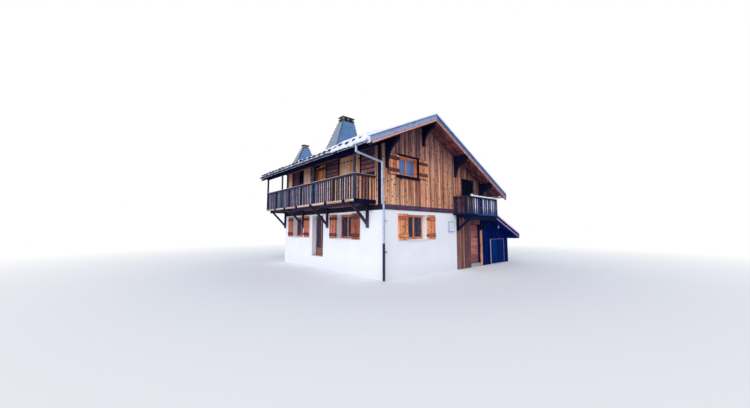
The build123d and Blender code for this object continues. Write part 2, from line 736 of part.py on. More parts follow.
def left_balcony_frame():
    reach = BEAM_FROM_WALL + BEAM_WIDTH + JOIST_PAST_BEAM
    return on_left(bracket_frame(
        BRACKETS_Y, BALCONY_Y, BRACKET_FOOT, DECK_TOP - DECK_THICK,
        BEAM_FROM_WALL, BEAM_DEPTH, reach, STRUT_RISE))


def gable_balcony_frame():
    return bracket_frame(
        GABLE_BRACKETS_X, GABLE_DECK_X, GABLE_BRACKET_FOOT, GABLE_DECK_TOP - DECK_THICK,
        GABLE_BEAM_FROM_WALL, GABLE_BEAM_DEPTH, GABLE_OUT, GABLE_STRUT_RISE)


def left_railing():
    rail = on_left(railing(*BALCONY_Y, DECK_TOP, BALCONY_RAIL_TOP, LEFT_BOARDS, RAIL_POSTS_Y))
    rail = Pos(RAIL_X, 0, 0) * rail
    for post in roof_post_blocks():
        rail -= post
    return rail


def left_railing_end(y_inner):
    """Return of the railing from its outer run to the wall."""
    return Pos(0, y_inner, 0) * railing(RAIL_X, 0, DECK_TOP, BALCONY_RAIL_TOP, LEFT_BOARDS)


def gable_balcony_deck():
    return block(*GABLE_DECK_X, -GABLE_OUT, 0, GABLE_DECK_TOP - DECK_THICK, GABLE_DECK_TOP)


def gable_railing():
    x0, x1 = GABLE_DECK_X
    posts = (x0 + POST / 2, (x0 + x1) / 2, x1 - POST / 2)
    rail = railing(x0, x1, GABLE_DECK_TOP, GABLE_RAIL_TOP, GABLE_BOARDS, posts)
    return Pos(0, GABLE_RAIL_Y, 0) * rail


def gable_railing_end(x_inner):
    rail = on_left(railing(GABLE_RAIL_Y, 0, GABLE_DECK_TOP, GABLE_RAIL_TOP, GABLE_BOARDS))
    return Pos(x_inner, 0, 0) * rail


# Lean-to

def shed_roof_top(x):
    return SHED_EAVE_TOP + SHED_SLOPE * (SHED_EAVE_X - x)


def shed_roof_under(x):
    return shed_roof_top(x) - SHED_ROOF_THICK


def shed_roof():
    """Single slope with a boxed eave; its overhang stops at the balcony's end."""
    def slope(x0, y0, y1):
        outline = [
            (x0, shed_roof_under(x0)), (SHED_RIGHT_X, shed_roof_under(SHED_RIGHT_X)),
            (SHED_RIGHT_X, SHED_EAVE_LOW), (SHED_EAVE_X, SHED_EAVE_LOW),
            (SHED_EAVE_X, SHED_EAVE_TOP), (x0, shed_roof_top(x0)),
        ]
        return along_y(outline, y0, y1)
    overhang_x = GABLE_DECK_X[1] + SHED_VERGE_PAST_BALCONY
    return slope(WIDTH, 0, SHED_LENGTH) + slope(overhang_x, -SHED_VERGE, 0)


def shed_panel(x0, x1, y0, y1, z0=0):
    """Part of a shed wall up to the sloping roof."""
    outline = [(x0, z0), (x1, z0), (x1, shed_roof_under(x1)), (x0, shed_roof_under(x0))]
    return along_y(outline, y0, y1)


def shed_front_wall():
    wall = shed_panel(WIDTH, SHED_DOOR_X[0], 0, SHED_WALL)
    return joined(wall, at_shed(pins(0, SHED_DOOR_HEAD, on_face=True)))


def shed_corner_wall():
    return shed_panel(SHED_DOOR_X[1], SHED_RIGHT_X, 0, SHED_WALL)


def shed_gable():
    return shed_panel(*SHED_DOOR_X, 0, SHED_WALL, SHED_DOOR_HEAD)


def shed_side_wall():
    return shed_panel(SHED_RIGHT_X - SHED_WALL, SHED_RIGHT_X, SHED_WALL, SHED_LENGTH - SHED_WALL)


def shed_back_wall():
    return shed_panel(WIDTH, SHED_RIGHT_X, SHED_LENGTH - SHED_WALL, SHED_LENGTH)


def meter_box():
    x0 = BAY_X - METER_BOX_FROM_BAY
    z1 = METER_BOX_Z + METER_BOX_SIZE
    return block(x0, x0 + METER_BOX_SIZE, -METER_DEPTH, 0, METER_BOX_Z, z1)


# The whole

def pieces():
    """Every piece by name, in the house frame."""
    built = {
        "front_wall": front_wall(),
        "entrance_wall": entrance_wall(),
        "entrance_lintel": entrance_lintel(),
        "left_wall_front": left_wall_front(),
        "left_wall_rear": left_wall_rear(),
        "left_wall_lintel": left_wall_lintel(),
        "back_wall": back_wall(),
        "right_wall": right_wall(),
        "ground_floor": ground_floor(),
        "first_floor": first_floor(),
        "belt_beams": belt_beams(),
        "gable_wall_front": gable_wall_front(),
        "gable_wall_back": gable_wall_back(),
        "upper_left_wall": upper_left_wall(),
        "roof_left": roof_slope(EAVE_LEFT_X),
        "roof_right": roof_slope(EAVE_RIGHT_X),
        "verge_front": verge(ROOF_Y[0], -1),
        "verge_back": verge(ROOF_Y[1], 1),
        "gutter_left": gutter(EAVE_LEFT_X, -1),
        "gutter_right": gutter(EAVE_RIGHT_X, 1),
        "downpipe": downpipe(),
        "chimney_large": chimney(**CHIMNEY_LARGE),
        "chimney_small": chimney(**CHIMNEY_SMALL),
        "front_window": window(FRONT_WINDOW, RENDERED_REVEAL),
        "gable_window": window(GABLE_WINDOW, TIMBER_REVEAL),
        "back_window": on_back(window(BACK_WINDOW, RENDERED_REVEAL)),
        "back_gable_window": on_back(window(BACK_GABLE_WINDOW, TIMBER_REVEAL)),
        "left_window_front": on_left(window(LEFT_FRONT_WINDOW, RENDERED_REVEAL)),
        "left_window_rear": on_left(window(LEFT_REAR_WINDOW, RENDERED_REVEAL, (0, SHUTTER))),
        "left_loose_shutter": left_loose_shutter(),
        "upper_left_window": on_left(window(UPPER_LEFT_WINDOW, TIMBER_REVEAL, (SHUTTER, 0))),
        "plank_door": on_left(fixed_leaf(PLANK_DOOR)),
        "balcony_door": balcony_door(),
        "gable_door": fixed_leaf(GABLE_DOOR),
        "entrance_door": entrance_door(),
        "terrace_door": terrace_door(),
        "shed_door": shed_door(),
        "balcony_posts": balcony_posts(),
        "left_balcony_deck": left_balcony_deck(),
        "left_balcony_frame": left_balcony_frame(),
        "left_railing": left_railing(),
        "left_railing_front": left_railing_end(BALCONY_Y[0] + RAIL_WIDTH),
        "left_railing_rear": left_railing_end(BALCONY_Y[1]),
        "gable_balcony_deck": gable_balcony_deck(),
        "gable_balcony_frame": gable_balcony_frame(),
        "gable_railing": gable_railing(),
        "gable_railing_left": gable_railing_end(GABLE_DECK_X[0] + RAIL_WIDTH),
        "gable_railing_right": gable_railing_end(GABLE_DECK_X[1]),
        "shed_roof": shed_roof(),
        "shed_front_wall": shed_front_wall(),
        "shed_corner_wall": shed_corner_wall(),
        "shed_gable": shed_gable(),
        "shed_side_wall": shed_side_wall(),
        "shed_back_wall": shed_back_wall(),
        "meter_box": meter_box(),
    }
    for name in CONSOLE_FEET:
        built[f"{name}_purlin"] = purlin(name)
    return built


os.makedirs("parts", exist_ok=True)
for node, shape in pieces().items():
    export_step(shape.moved(Location(SHIFT)), f"parts/{node}.step")
print("house to part shift", SHIFT)
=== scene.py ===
# %% [markdown]
# An alpine chalet, dressed from its CAD model.
# The CAD gives every wall, beam and slab its true place and size, as one plain solid each.
# This lesson adds what a carpenter, roofer and painter would: boards, tiles, panes, iron and
# snow. It works in metres, and each new mesh is made in its final place, so every object
# stays at the origin and a pattern that reads object coordinates stays put.

# %% Load the frame
import bpy
import bmesh
import math
import random
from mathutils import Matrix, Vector, noise


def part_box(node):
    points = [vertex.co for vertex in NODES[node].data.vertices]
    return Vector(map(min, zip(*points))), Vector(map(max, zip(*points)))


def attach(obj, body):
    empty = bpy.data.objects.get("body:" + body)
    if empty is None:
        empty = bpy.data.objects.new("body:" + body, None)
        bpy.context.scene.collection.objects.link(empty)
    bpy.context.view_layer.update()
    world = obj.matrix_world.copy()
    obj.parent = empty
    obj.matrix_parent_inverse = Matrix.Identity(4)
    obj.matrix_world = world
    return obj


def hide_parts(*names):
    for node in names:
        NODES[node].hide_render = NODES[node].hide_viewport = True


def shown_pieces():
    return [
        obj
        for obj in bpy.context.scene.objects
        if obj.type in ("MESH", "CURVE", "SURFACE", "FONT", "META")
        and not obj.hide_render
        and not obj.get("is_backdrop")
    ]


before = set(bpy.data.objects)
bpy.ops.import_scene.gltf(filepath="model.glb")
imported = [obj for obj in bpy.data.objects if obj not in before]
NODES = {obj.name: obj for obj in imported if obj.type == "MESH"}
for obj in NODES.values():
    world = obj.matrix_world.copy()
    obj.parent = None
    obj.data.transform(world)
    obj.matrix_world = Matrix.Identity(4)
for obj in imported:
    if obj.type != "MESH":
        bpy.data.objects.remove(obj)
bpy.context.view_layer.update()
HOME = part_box("front_wall")[0]
print("house corner in the part's frame:", tuple(round(v, 3) for v in HOME))

# %% [markdown]
# The building is laid out from its left front corner: x runs right along the front gable,
# y runs back and z up. The sizes below repeat the ones that the CAD was built from, because
# boards and tiles have to end where walls and slopes do. Doors and windows are given as
# from, to, bottom and top on their own wall.

# %% House sizes
WIDTH, LENGTH, BAY_X = 7.36, 9.0, 4.92
GROUND_TOP, BELT_TOP = 2.765, 2.976
RIDGE_X, RIDGE_Z, SLOPE, ROOF_THICK = 2.375, 6.946, 0.467, 0.19
EAVE_LEFT, EAVE_RIGHT = -1.42, 8.81
ROOF_FRONT, ROOF_BACK = -0.74, 9.35
ENTRANCE = (6.2, 7.2, 0.17, 2.25)
TERRACE = (4.55, 5.67, 0.65, 2.70)
SHED_DOOR = (8.34, 9.94, 0.0, 1.40)
FRONT_WINDOW = (1.324, 2.576, 1.560, 2.610)
GABLE_WINDOW = (0.763, 2.040, 4.230, 5.050)
LEFT_FRONT_WINDOW = (2.141, 3.323, 1.566, 2.665)
LEFT_REAR_WINDOW = (6.690, 7.945, 1.566, 2.700)
UPPER_LEFT_WINDOW = (4.960, 5.480, 4.050, 5.250)
BACK_WINDOW = (3.000, 4.250, 1.560, 2.610)
BACK_GABLE_WINDOW = (1.750, 3.000, 4.230, 5.050)
PLANK_DOOR = (1.550, 3.170, 3.150, 5.360)
BALCONY_DOOR = (6.800, 8.070, 3.150, 5.350)
GABLE_DOOR = (5.430, 6.610, 2.900, 4.610)
DECK_TOP, RAIL_TOP, BALCONY_OUT, BALCONY_Y = 3.150, 4.150, 1.120, (0.5, 9.28)
GABLE_DECK_X, GABLE_DECK_TOP, GABLE_RAIL_TOP, GABLE_OUT = (4.64, 7.74), 2.75, 3.61, 0.775
SHED_RIGHT, SHED_BACK, SHED_EAVE, SHED_EAVE_TOP = 10.5, 4.5, 11.05, 1.65
SHED_SLOPE, SHED_THICK, SHED_LOW = 0.38, 0.12, 1.43
SHED_VERGE, SHED_OVERHANG_X = 0.5, 7.86


def roof_top(x):
    return RIDGE_Z - SLOPE * abs(x - RIDGE_X)


def roof_under(x):
    return roof_top(x) - ROOF_THICK


def shed_top(x):
    return SHED_EAVE_TOP + SHED_SLOPE * (SHED_EAVE - x)


print("ridge at", RIDGE_Z, "left eave at", round(roof_top(EAVE_LEFT), 3))

# %% [markdown]
# Colours are written as the hex values that a painter's card would give and turned to the
# linear numbers that the shader works in. One small function adds a node: its inputs are
# either plain values or sockets of other nodes. Nodes could be placed by hand in the editor,
# but written like this each material reads from top to bottom.

# %% Colour and node helpers
def colour(code):
    """Linear colour from an sRGB hex value."""
    parts = [int(code[i:i + 2], 16) / 255 for i in (1, 3, 5)]
    linear = [v / 12.92 if v <= 0.04045 else ((v + 0.055) / 1.055) ** 2.4 for v in parts]
    return (*linear, 1.0)


def add(tree, kind, inputs=None, **settings):
    """Adds a node. Inputs are named or numbered, and each is a value or another node's output."""
    made = tree.nodes.new(kind)
    for key, value in settings.items():
        setattr(made, key, value)
    for key, value in (inputs or {}).items():
        if isinstance(value, bpy.types.NodeSocket):
            tree.links.new(value, made.inputs[key])
        else:
            made.inputs[key].default_value = value
    return made


def new_material(name):
    """Empty material with its principled shader, and the object coordinates that it reads."""
    made = bpy.data.materials.new(name)
    made.use_nodes = True
    shader = made.node_tree.nodes["Principled BSDF"]
    place = add(made.node_tree, "ShaderNodeTexCoord").outputs["Object"]
    return made, made.node_tree, shader, place


print("colour helpers ready")

# %% [markdown]
# The same few sums come back in every finish: arithmetic, one coordinate, a fade between two
# values, and clouds of noise. They could be written out as nodes each time, but as small
# functions they keep each material short enough to read.

# %% Pattern helpers
def calc(tree, operation, *values):
    """Arithmetic on numbers and sockets."""
    inputs = dict(enumerate(values))
    return add(tree, "ShaderNodeMath", inputs, operation=operation).outputs[0]


def coordinate(tree, place, axis):
    return add(tree, "ShaderNodeSeparateXYZ", {0: place}).outputs[axis]


def fade(tree, value, low, high, start=0.0, end=1.0):
    """Runs from start to end while the value runs from low to high."""
    return add(tree, "ShaderNodeMapRange", {
        "Value": value, "From Min": low, "From Max": high,
        "To Min": start, "To Max": end}).outputs["Result"]


def clouds(tree, place, scale, detail=2.0, rough=0.5, distortion=0.0):
    """Soft noise with about this many clouds in each metre."""
    return add(tree, "ShaderNodeTexNoise", {
        "Vector": place, "Scale": scale, "Detail": detail, "Roughness": rough,
        "Distortion": distortion}).outputs["Fac"]


print("pattern helpers ready")

# %% [markdown]
# A finish ends in three ways: its colours are picked and mixed, they cover the shader, and a
# height gives relief. Relief could be real geometry, but fibres and grit are only a
# millimetre or two deep, so the light only has to be told how they tilt.

# %% Colours, cover and relief
def ramp(tree, fac, stops, interpolation="LINEAR"):
    """Colour ramp from (position, hex) pairs."""
    made = add(tree, "ShaderNodeValToRGB", {"Fac": fac})
    made.color_ramp.interpolation = interpolation
    while len(made.color_ramp.elements) < len(stops):
        made.color_ramp.elements.new(0.5)
    for element, (position, code) in zip(made.color_ramp.elements, stops):
        element.position = position
        element.color = colour(code)
    return made.outputs["Color"]


def blend(tree, fac, first, second, mode="MIX"):
    """Mix of two colours, each a socket or a hex value."""
    inputs = {0: fac}
    for index, value in ((6, first), (7, second)):
        inputs[index] = colour(value) if isinstance(value, str) else value
    mixed = add(tree, "ShaderNodeMix", inputs, data_type="RGBA", blend_type=mode)
    return mixed.outputs[2]


def cover(tree, shader, surface, values):
    """Gives the shader its colour, a socket or a hex value, and plain values of its inputs."""
    if isinstance(surface, str):
        shader.inputs["Base Color"].default_value = colour(surface)
    else:
        tree.links.new(surface, shader.inputs["Base Color"])
    for key, value in values.items():
        shader.inputs[key].default_value = value


def bump(tree, shader, height, depth_mm, strength=1.0):
    """Relief on the surface, as deep as the millimetres say."""
    made = add(tree, "ShaderNodeBump", {
        "Height": height, "Distance": depth_mm / 1000, "Strength": strength})
    tree.links.new(made.outputs["Normal"], shader.inputs["Normal"])


print("helpers ready")

# %% [markdown]
# Timber first, because it makes most of the house. Sawn spruce shows long fibres, knots, and
# boards that each weathered a little differently. The fibres are noise stretched along the
# board, the knots are cells of a Voronoi pattern with dark centres, and the difference between
# boards comes from one number per board. A picture of boards would be quicker, but it repeats
# and can't tell one board from the next. New boards carry their number as a mesh attribute. A
# CAD panel has no such attribute, so its boards are counted off from a known width.

# %% Timber patterns
def board_count(tree, place, joints):
    """How many board widths lie between the first joint and here."""
    axis, start, width = joints
    moved = calc(tree, "SUBTRACT", coordinate(tree, place, axis), start)
    return calc(tree, "DIVIDE", moved, width)


def board_number(tree, place, joints):
    """A random number for each board, from the attribute or from counted board widths."""
    if joints is None:
        return add(tree, "ShaderNodeAttribute", attribute_name="board").outputs["Fac"]
    whole = calc(tree, "FLOOR", board_count(tree, place, joints))
    number = add(tree, "ShaderNodeTexWhiteNoise", {"W": whole}, noise_dimensions="1D")
    return number.outputs["Value"]


def drawn_out(tree, place, along, squeeze, size):
    """Coordinates for a pattern of one size that is drawn out along the board."""
    scale = tuple((squeeze if axis == along else 1.0) / size for axis in "xyz")
    return add(tree, "ShaderNodeMapping", {"Vector": place, "Scale": scale}).outputs[0]


def board_tints(tree, board, surface, tints, amount):
    """Turns each board's colour toward one of a few tints."""
    stops = [(i / len(tints), code) for i, code in enumerate(tints)]
    return blend(tree, amount, surface, ramp(tree, board, stops, "CONSTANT"))


print("board patterns ready")

# %% [markdown]
# Light and weather work on wood in a few ways. A colour that shifts along a direction is, in
# most finishes, painted light and shade that fall across the house. The wood darkens beside the
# joints, which on the railings is painted shade in their gaps. Rain draws streaks, and knots
# stay dark. Each could be painted by hand on an image, but a sum of coordinates gives it at
# every scale and on every side of the house.

# %% Weather, light and shade on wood
# How squeezed a streak is along the board, and at which noise it starts and is full.
STREAK_SQUEEZE, STREAK_FROM, STREAK_TO = 0.03, 0.56, 0.68
# Where a knot and a seam stop being full, where they end, and how dark they get.
KNOT_CORE, KNOT_RIM, KNOT_DARK = 0.65, 1.1, 0.92
SEAM_CORE, SEAM_RIM, SEAM_DARK = 0.75, 1.25, 0.95


def light_and_shade_on_sides(tree, surface, axis, code):
    """Paints the faces that look along an axis in one colour: painted shade on the sides of
    railing slots, painted light on the sides of the chimneys.
    """
    normal = add(tree, "ShaderNodeNewGeometry").outputs["Normal"]
    size = calc(tree, "ABSOLUTE", coordinate(tree, normal, axis))
    return blend(tree, calc(tree, "GREATER_THAN", size, 0.5), surface, code)


def wash(tree, surface, place, direction, low, high, code, amount):
    """Fades a surface toward a colour along a direction of the house frame."""
    local = add(tree, "ShaderNodeVectorMath", {0: place, 1: tuple(HOME)}, operation="SUBTRACT")
    along = add(tree, "ShaderNodeVectorMath", {
        0: local.outputs[0], 1: direction}, operation="DOT_PRODUCT").outputs["Value"]
    return blend(tree, fade(tree, along, low, high, 0.0, amount), surface, code)


def dark_seams(tree, surface, place, joints, reach, code):
    """Darkens the wood beside each joint of a CAD panel; on the railings this is painted shade in
    the gaps between boards.
    """
    within = calc(tree, "FRACT", board_count(tree, place, joints))
    apart = calc(tree, "ABSOLUTE", calc(tree, "SUBTRACT", within, 0.5))
    part = reach / joints[2]
    near = fade(tree, apart, 0.5 - SEAM_RIM * part, 0.5 - SEAM_CORE * part, 0.0, SEAM_DARK)
    return blend(tree, near, surface, code)


def round_knots(tree, surface, apart, radius, gap, code):
    """Dark knots of one radius, about one in each square of the gap, on any upright face."""
    across = calc(tree, "ADD", coordinate(tree, apart, "X"), coordinate(tree, apart, "Y"))
    flat = add(tree, "ShaderNodeCombineXYZ", {"X": across, "Y": coordinate(tree, apart, "Z")})
    cells = add(tree, "ShaderNodeTexVoronoi", {
        "Vector": flat.outputs[0], "Scale": 1 / gap, "Randomness": 1.0},
        voronoi_dimensions="2D").outputs["Distance"]
    size = radius / gap
    near = fade(tree, cells, KNOT_CORE * size, KNOT_RIM * size, KNOT_DARK, 0.0)
    return blend(tree, near, surface, code)


def rain_streaks(tree, surface, apart, along, width, code, amount):
    """Dark weathered streaks and cracks that run along the board."""
    at = drawn_out(tree, apart, along, STREAK_SQUEEZE, width)
    part = fade(tree, clouds(tree, at, 0.5), STREAK_FROM, STREAK_TO, 0.0, amount)
    return blend(tree, part, surface, code)


print("weather ready")

# %% [markdown]
# One function turns these patterns into a finish. Every wood could have its own node tree, but
# then a change of grain would have to be made thirty times. Here the woods differ only in the
# colours and amounts that they are given.

# %% Timber from its parts
# Each board shows another stretch of the pattern, and its own tone moves all its grades.
BOARD_SHIFT, BOARD_TONE, TONE_FROM, TONE_TO = 37.0, 0.55, 0.75, 1.85
FIBRE_SQUEEZE, GRADES_AT = 0.05, {3: (0.0, 0.5, 1.0), 4: (0.0, 0.4, 0.75, 1.0)}


def timber(name, grades, along="z", at=None, fibre_mm=9, depth_mm=1.5, rough=0.72, gloss=0.5,
           joints=None, tints="", tint=0.5, washes=(), streaks=None, knots=None, seams=None,
           edges=None, above=None):
    """Sawn or planed softwood. Grades are colours from the palest board to the darkest fibre."""
    made, tree, shader, place = new_material(name)
    board = board_number(tree, place, joints)
    shift = calc(tree, "MULTIPLY", board, BOARD_SHIFT)
    apart = add(tree, "ShaderNodeVectorMath", {0: place, 1: shift}, operation="ADD").outputs[0]
    fibres_at = drawn_out(tree, apart, along, FIBRE_SQUEEZE, fibre_mm / 100)
    fibres = clouds(tree, fibres_at, 10 / 9, 5.0, 0.65, 0.4)
    toned = calc(tree, "ADD", fibres, calc(tree, "MULTIPLY", board, BOARD_TONE))
    mixed = calc(tree, "ADD", clouds(tree, apart, 1.7, 3.0), toned)
    codes = grades.split()
    stops = list(zip(at or GRADES_AT[len(codes)], codes))
    surface = ramp(tree, fade(tree, mixed, TONE_FROM, TONE_TO), stops)
    if tints:
        surface = board_tints(tree, board, surface, tints.split(), tint)
    for one in washes:
        surface = wash(tree, surface, place, *one)
    if streaks:
        surface = rain_streaks(tree, surface, apart, along, *streaks)
    if knots:
        surface = round_knots(tree, surface, apart, *knots)
    if seams:
        surface = dark_seams(tree, surface, place, joints, *seams)
    # Sides of the railing slots: painted shade.
    if edges:
        surface = light_and_shade_on_sides(tree, surface, *edges)
    # A colour above a height: painted shade under a cap, a rail or the eave.
    if above:
        over = calc(tree, "GREATER_THAN", coordinate(tree, place, "Z"), above[1])
        surface = blend(tree, over, surface, above[0])
    cover(tree, shader, surface, {"Roughness": rough, "Specular IOR Level": gloss})
    bump(tree, shader, fibres, depth_mm, 0.7)
    return made


print("timber patterns ready")

# %% [markdown]
# Each finish names a wood and its surface, with a note on what the eye gets from it. Four or
# five colours run from the palest board to the darkest fibre. The house was oiled and stained
# at different times, and many finishes have light and shade painted into their colours, so the
# same spruce goes from orange to nearly navy. Streaks are (width, colour, amount), knots are
# (radius, gap, colour), and a wash is a direction with where it starts and ends, its colour and
# its amount.

# %% Timber finishes
UP, DOWN, LEFT_DOWN = (0.0, 0.0, 1.0), (0.0, 0.0, -1.0), (-1.0, 0.0, -1.0)
LEFT, RIGHT = (-1.0, 0.0, 0.0), (1.0, 0.0, 0.0)
FORWARD, BACKWARD = (0.0, -1.0, 0.0), (0.0, 1.0, 0.0)
# Gable boards: painted light glows orange low on the left; painted shade turns them violet under
# the roof and to the right.
LIT_AND_SHADED_SPRUCE = timber(
    "spruce_boards_painted_lit_and_shaded", "#ffd8b8 #f4b08a #bf7c5a #6b3c34 #24141a",
    at=(0.0, 0.26, 0.50, 0.74, 1.0), tints="#f0a884 #94584a #dc9474 #63382f #ffc4a2 #a0604c",
    washes=((LEFT_DOWN, -5.4, -3.4, "#ffc69c", 0.62), (UP, 4.3, 6.2, "#352c58", 0.62),
            (RIGHT, 4.4, 7.0, "#40243a", 0.72)),
    streaks=(0.040, "#2a161e", 0.85), knots=(0.040, 0.31, "#0c060e"))
# Boards beside the entrance: the same spruce, darker and duller as painted shade, because it
# stands under a deck.
ENTRANCE_BOARDS = timber(
    "entrance_spruce_boards", "#c58c78 #94604f #60383c #2a181f", at=(0.0, 0.25, 0.55, 1.0),
    tints="#b07868 #5a3840 #8c5c58 #6a4450", streaks=(0.035, "#2c1a24", 0.7),
    knots=(0.028, 0.32, "#170d14"))
# The post right of the entrance: the same boards in painted sunlight, bright orange, with hard
# dark cracks.
SUNLIT_POST = timber(
    "sunlit_entrance_boards", "#ffc89c #d8905e #8a5044 #1c1226", at=(0.0, 0.3, 0.6, 1.0),
    tints="#e8a070 #3a2c4c #c07c58 #ffb484", streaks=(0.04, "#1a1230", 0.9),
    knots=(0.030, 0.24, "#0e0a1c"))
# Boards that the sun doesn't reach: even, dull brown.
SHADED = timber(
    "shaded_spruce_boards", "#a97a5c #7a5341 #573a31 #2c1f20", at=(0.0, 0.4, 0.7, 1.0),
    tints="#8d6550 #5c4038 #73503f #674636", streaks=(0.035, "#33202a", 0.7),
    knots=(0.032, 0.36, "#170e12"))
# Old beam stain: nearly black, with a navy tint of painted shade, so that only outlines show.
DARK = timber(
    "navy_black_stained_beams", "#14183c #070a26 #04051a #02030e", along="y",
    rough=0.85, gloss=0.08)
# Posts and casings: dark stain. On the walls behind the boards it is painted shade in the gaps.
DARK_UP = timber("dark_stain_and_painted_gap_shade", "#1a1c48 #0b0f36 #070a26 #040412", gloss=0.12)
# Brackets under the balcony: plum-black, and greyer toward the foot, which is painted light thrown
# up by the snow.
BRACES = timber(
    "dark_stained_brackets", "#2c2444 #181230 #0e0a22 #070512", gloss=0.3,
    washes=((DOWN, -2.5, -2.1, "#5a5878", 0.55),))
# Roof posts: blue-black, and black at the top in the shadow of the eave.
POST_BLUE = timber(
    "blue_black_roof_posts", "#3c5068 #18243c #0c1228 #060818", gloss=0.08,
    above=("#030830", HOME.z + roof_under(-BALCONY_OUT) - 0.22))
# Belt beams: purple-brown to the front, navy along the shaded left side.
BELT = timber(
    "purple_brown_belt_beam", "#6a4c62 #44304a #2a1e36 #181226", along="x", gloss=0.3)
BELT_LEFT = timber(
    "navy_belt_beam_left", "#2c2a58 #15143a #0c0b26 #070616", along="y", gloss=0.25)


print("wall and beam timber made")

# %% [markdown]
# The joinery is pine, planed and varnished, so it is smoother and redder than the walls and
# has a soft shine. It could share the finish of the walls, but its warm orange beside the dull
# boards is what the eye catches first, so it gets colours of its own.

# %% Pine of shutters and doors
# Varnished shutters: warm orange pine with a soft shine and reddish grain.
PINE = timber(
    "varnished_pine", "#ffc090 #ee9462 #c66c42 #7c3c26", at=(0.0, 0.35, 0.65, 1.0),
    rough=0.5, depth_mm=0.8, streaks=(0.035, "#8c4226", 0.6), knots=(0.026, 0.22, "#30120f"))
# The same pine on the left wall, reddened and duller with age.
RED_PINE = timber(
    "reddened_pine", "#e79a74 #cc7354 #a5533c #6a3026", at=(0.0, 0.35, 0.65, 1.0),
    rough=0.55, depth_mm=0.8, streaks=(0.035, "#6c2c24", 0.6), knots=(0.026, 0.26, "#280f14"))
# The plank door: light tan planks with small knots, paler than the pine is, as painted light
# thrown up by the snow under the balcony.
PLANK_PINE = timber(
    "tan_plank_door", "#ffe6cc #ffc69c #f6a474 #a8623e", at=(0.0, 0.35, 0.65, 1.0),
    rough=0.55, gloss=0.3, streaks=(0.03, "#cc8054", 0.5), knots=(0.022, 0.36, "#5a3020"))
# Folded leaves: pine bleached to cream, with a last blush of orange at the top.
PALE_PINE = timber(
    "pale_faded_pine", "#fff0e4 #ffcfb2 #f0a888 #a0624c", rough=0.6,
    washes=((UP, 4.9, 5.25, "#f08c6c", 0.6),), knots=(0.020, 0.40, "#6d4330"))
# Battens of the shutters: one dark purple-brown line across the orange planks.
BATTEN = timber(
    "purple_brown_shutter_battens", "#7a4c48 #582e32 #3c1e26 #241218", along="x")


print("pine made")

# %% [markdown]
# The other timber lies under the roof, on the balconies and on the lean-to. Most of it is in
# shade, which is painted into its colours as nearly black. A black with no colour would look
# like a hole, so each of these keeps a tint of navy or dark red.

# %% Timber of roof, balconies and lean-to
# Under the roof: dark red boards and rafters on the right; on the left the same in painted shade,
# navy-black.
SOFFIT = timber(
    "dark_red_soffit_boards", "#a86468 #7c4250 #50283c #261224", along="y", gloss=0.3)
DARK_SOFFIT = timber(
    "navy_black_soffit_boards", "#0c1450 #050a36 #030624 #020312", along="y", gloss=0.1)
# The outer rafter and the head board catch light, so they glow orange-brown.
RAFTER = timber("orange_brown_rafters", "#f0a882 #c8805c #935442 #4e2a28", along="x")
# Rafters: a little lighter than the boards behind them, so that each one stands out.
RED_RAFTER = timber(
    "dark_red_rafters", "#b87474 #8a4c58 #582e40 #281426", along="x", gloss=0.3)
# The left rafters in painted shade: navy-black.
DARK_RAFTER = timber(
    "navy_black_rafters", "#0e1654 #060b3a #040726 #020414", along="x", gloss=0.1)
# Balcony boards: trodden pale wood with dark cracks, greyer to the rear.
DECK = timber(
    "weathered_deck_boards", "#f4d4bc #d0a688 #967460 #463440", along="y",
    washes=((BACKWARD, 3.0, 8.0, "#b4a8b8", 0.6),), streaks=(0.03, "#241c38", 0.8))
# Squared logs: rosy faces with deep dark joints and long cracks, turning violet toward the top as
# painted shade under the eave.
LOGS = timber(
    "squared_logs", "#ffc4b4 #b07074 #4a2c48 #0e0816", along="y", at=(0.0, 0.3, 0.6, 1.0),
    fibre_mm=22, joints=("Z", BELT_TOP + HOME.z, 0.196), tints="#e89c8c #40305c #b47874 #2c2040",
    washes=((UP, 4.5, 5.1, "#3c3058", 0.55),), streaks=(0.05, "#22141e", 0.85),
    knots=(0.034, 0.24, "#100812"), seams=(0.026, "#100a16"))
# Entrance planks: red-brown paint worn by hands, darker at the top and the foot.
RED_PLANKS = timber(
    "red_brown_door_planks", "#e09488 #c07470 #945458 #502838", along="x", rough=0.6, gloss=0.3,
    washes=((UP, 1.7, 2.2, "#5a3048", 0.6), (DOWN, -0.75, -0.5, "#4a3038", 0.55)),
    streaks=(0.04, "#5a2c34", 0.6), knots=(0.022, 0.26, "#3a1820"))
# Lean-to: dark rough boards, deep navy and on the door a brighter blue, both painted shade, as the
# lean-to stands in shadow.
NAVY_BOARDS = timber(
    "navy_lean_to_boards", "#0c2c80 #051858 #031042 #020828", rough=0.9, gloss=0.02)
BLUE_BOARDS = timber(
    "blue_lean_to_door_boards", "#0c4498 #042864 #021c54 #02103c", rough=0.9, gloss=0.02)
# Edge of the gable balcony: a cold blue of painted shade, and its left end stays dark.
SHADE_BLUE_BEAM = timber(
    "shade_blue_balcony_deck", "#2456a8 #0a2c6a #051a4c #020c2e", along="x",
    rough=0.9, gloss=0.04, washes=((LEFT, -5.9, -5.4, "#0a0c2c", 0.85),))
# Thin planed strips: pale lines that draw the edges of dark boards.
PALE_STRIP = timber("pale_planed_strip", "#e6e4ee #c4c2d0 #8f8ca0", rough=0.6)
MAUVE_STRIP = timber("mauve_weathered_strip", "#9a8cac #746a94 #463f68", rough=0.6)
# Bare boards of the upper floor: plain tan, seen only through a door.
FLOOR_BOARDS = timber(
    "bare_floor_boards", "#c99f70 #a37c52 #6d5138", along="y", joints=("X", HOME.x, 0.14))
# Cap of the long railing: silver wood that catches the sky.
CAP_BOARD = timber("silver_rail_cap", "#e8dcd8 #bdb0b4 #8c8494 #5a566c", along="y")
print("timber finishes made")

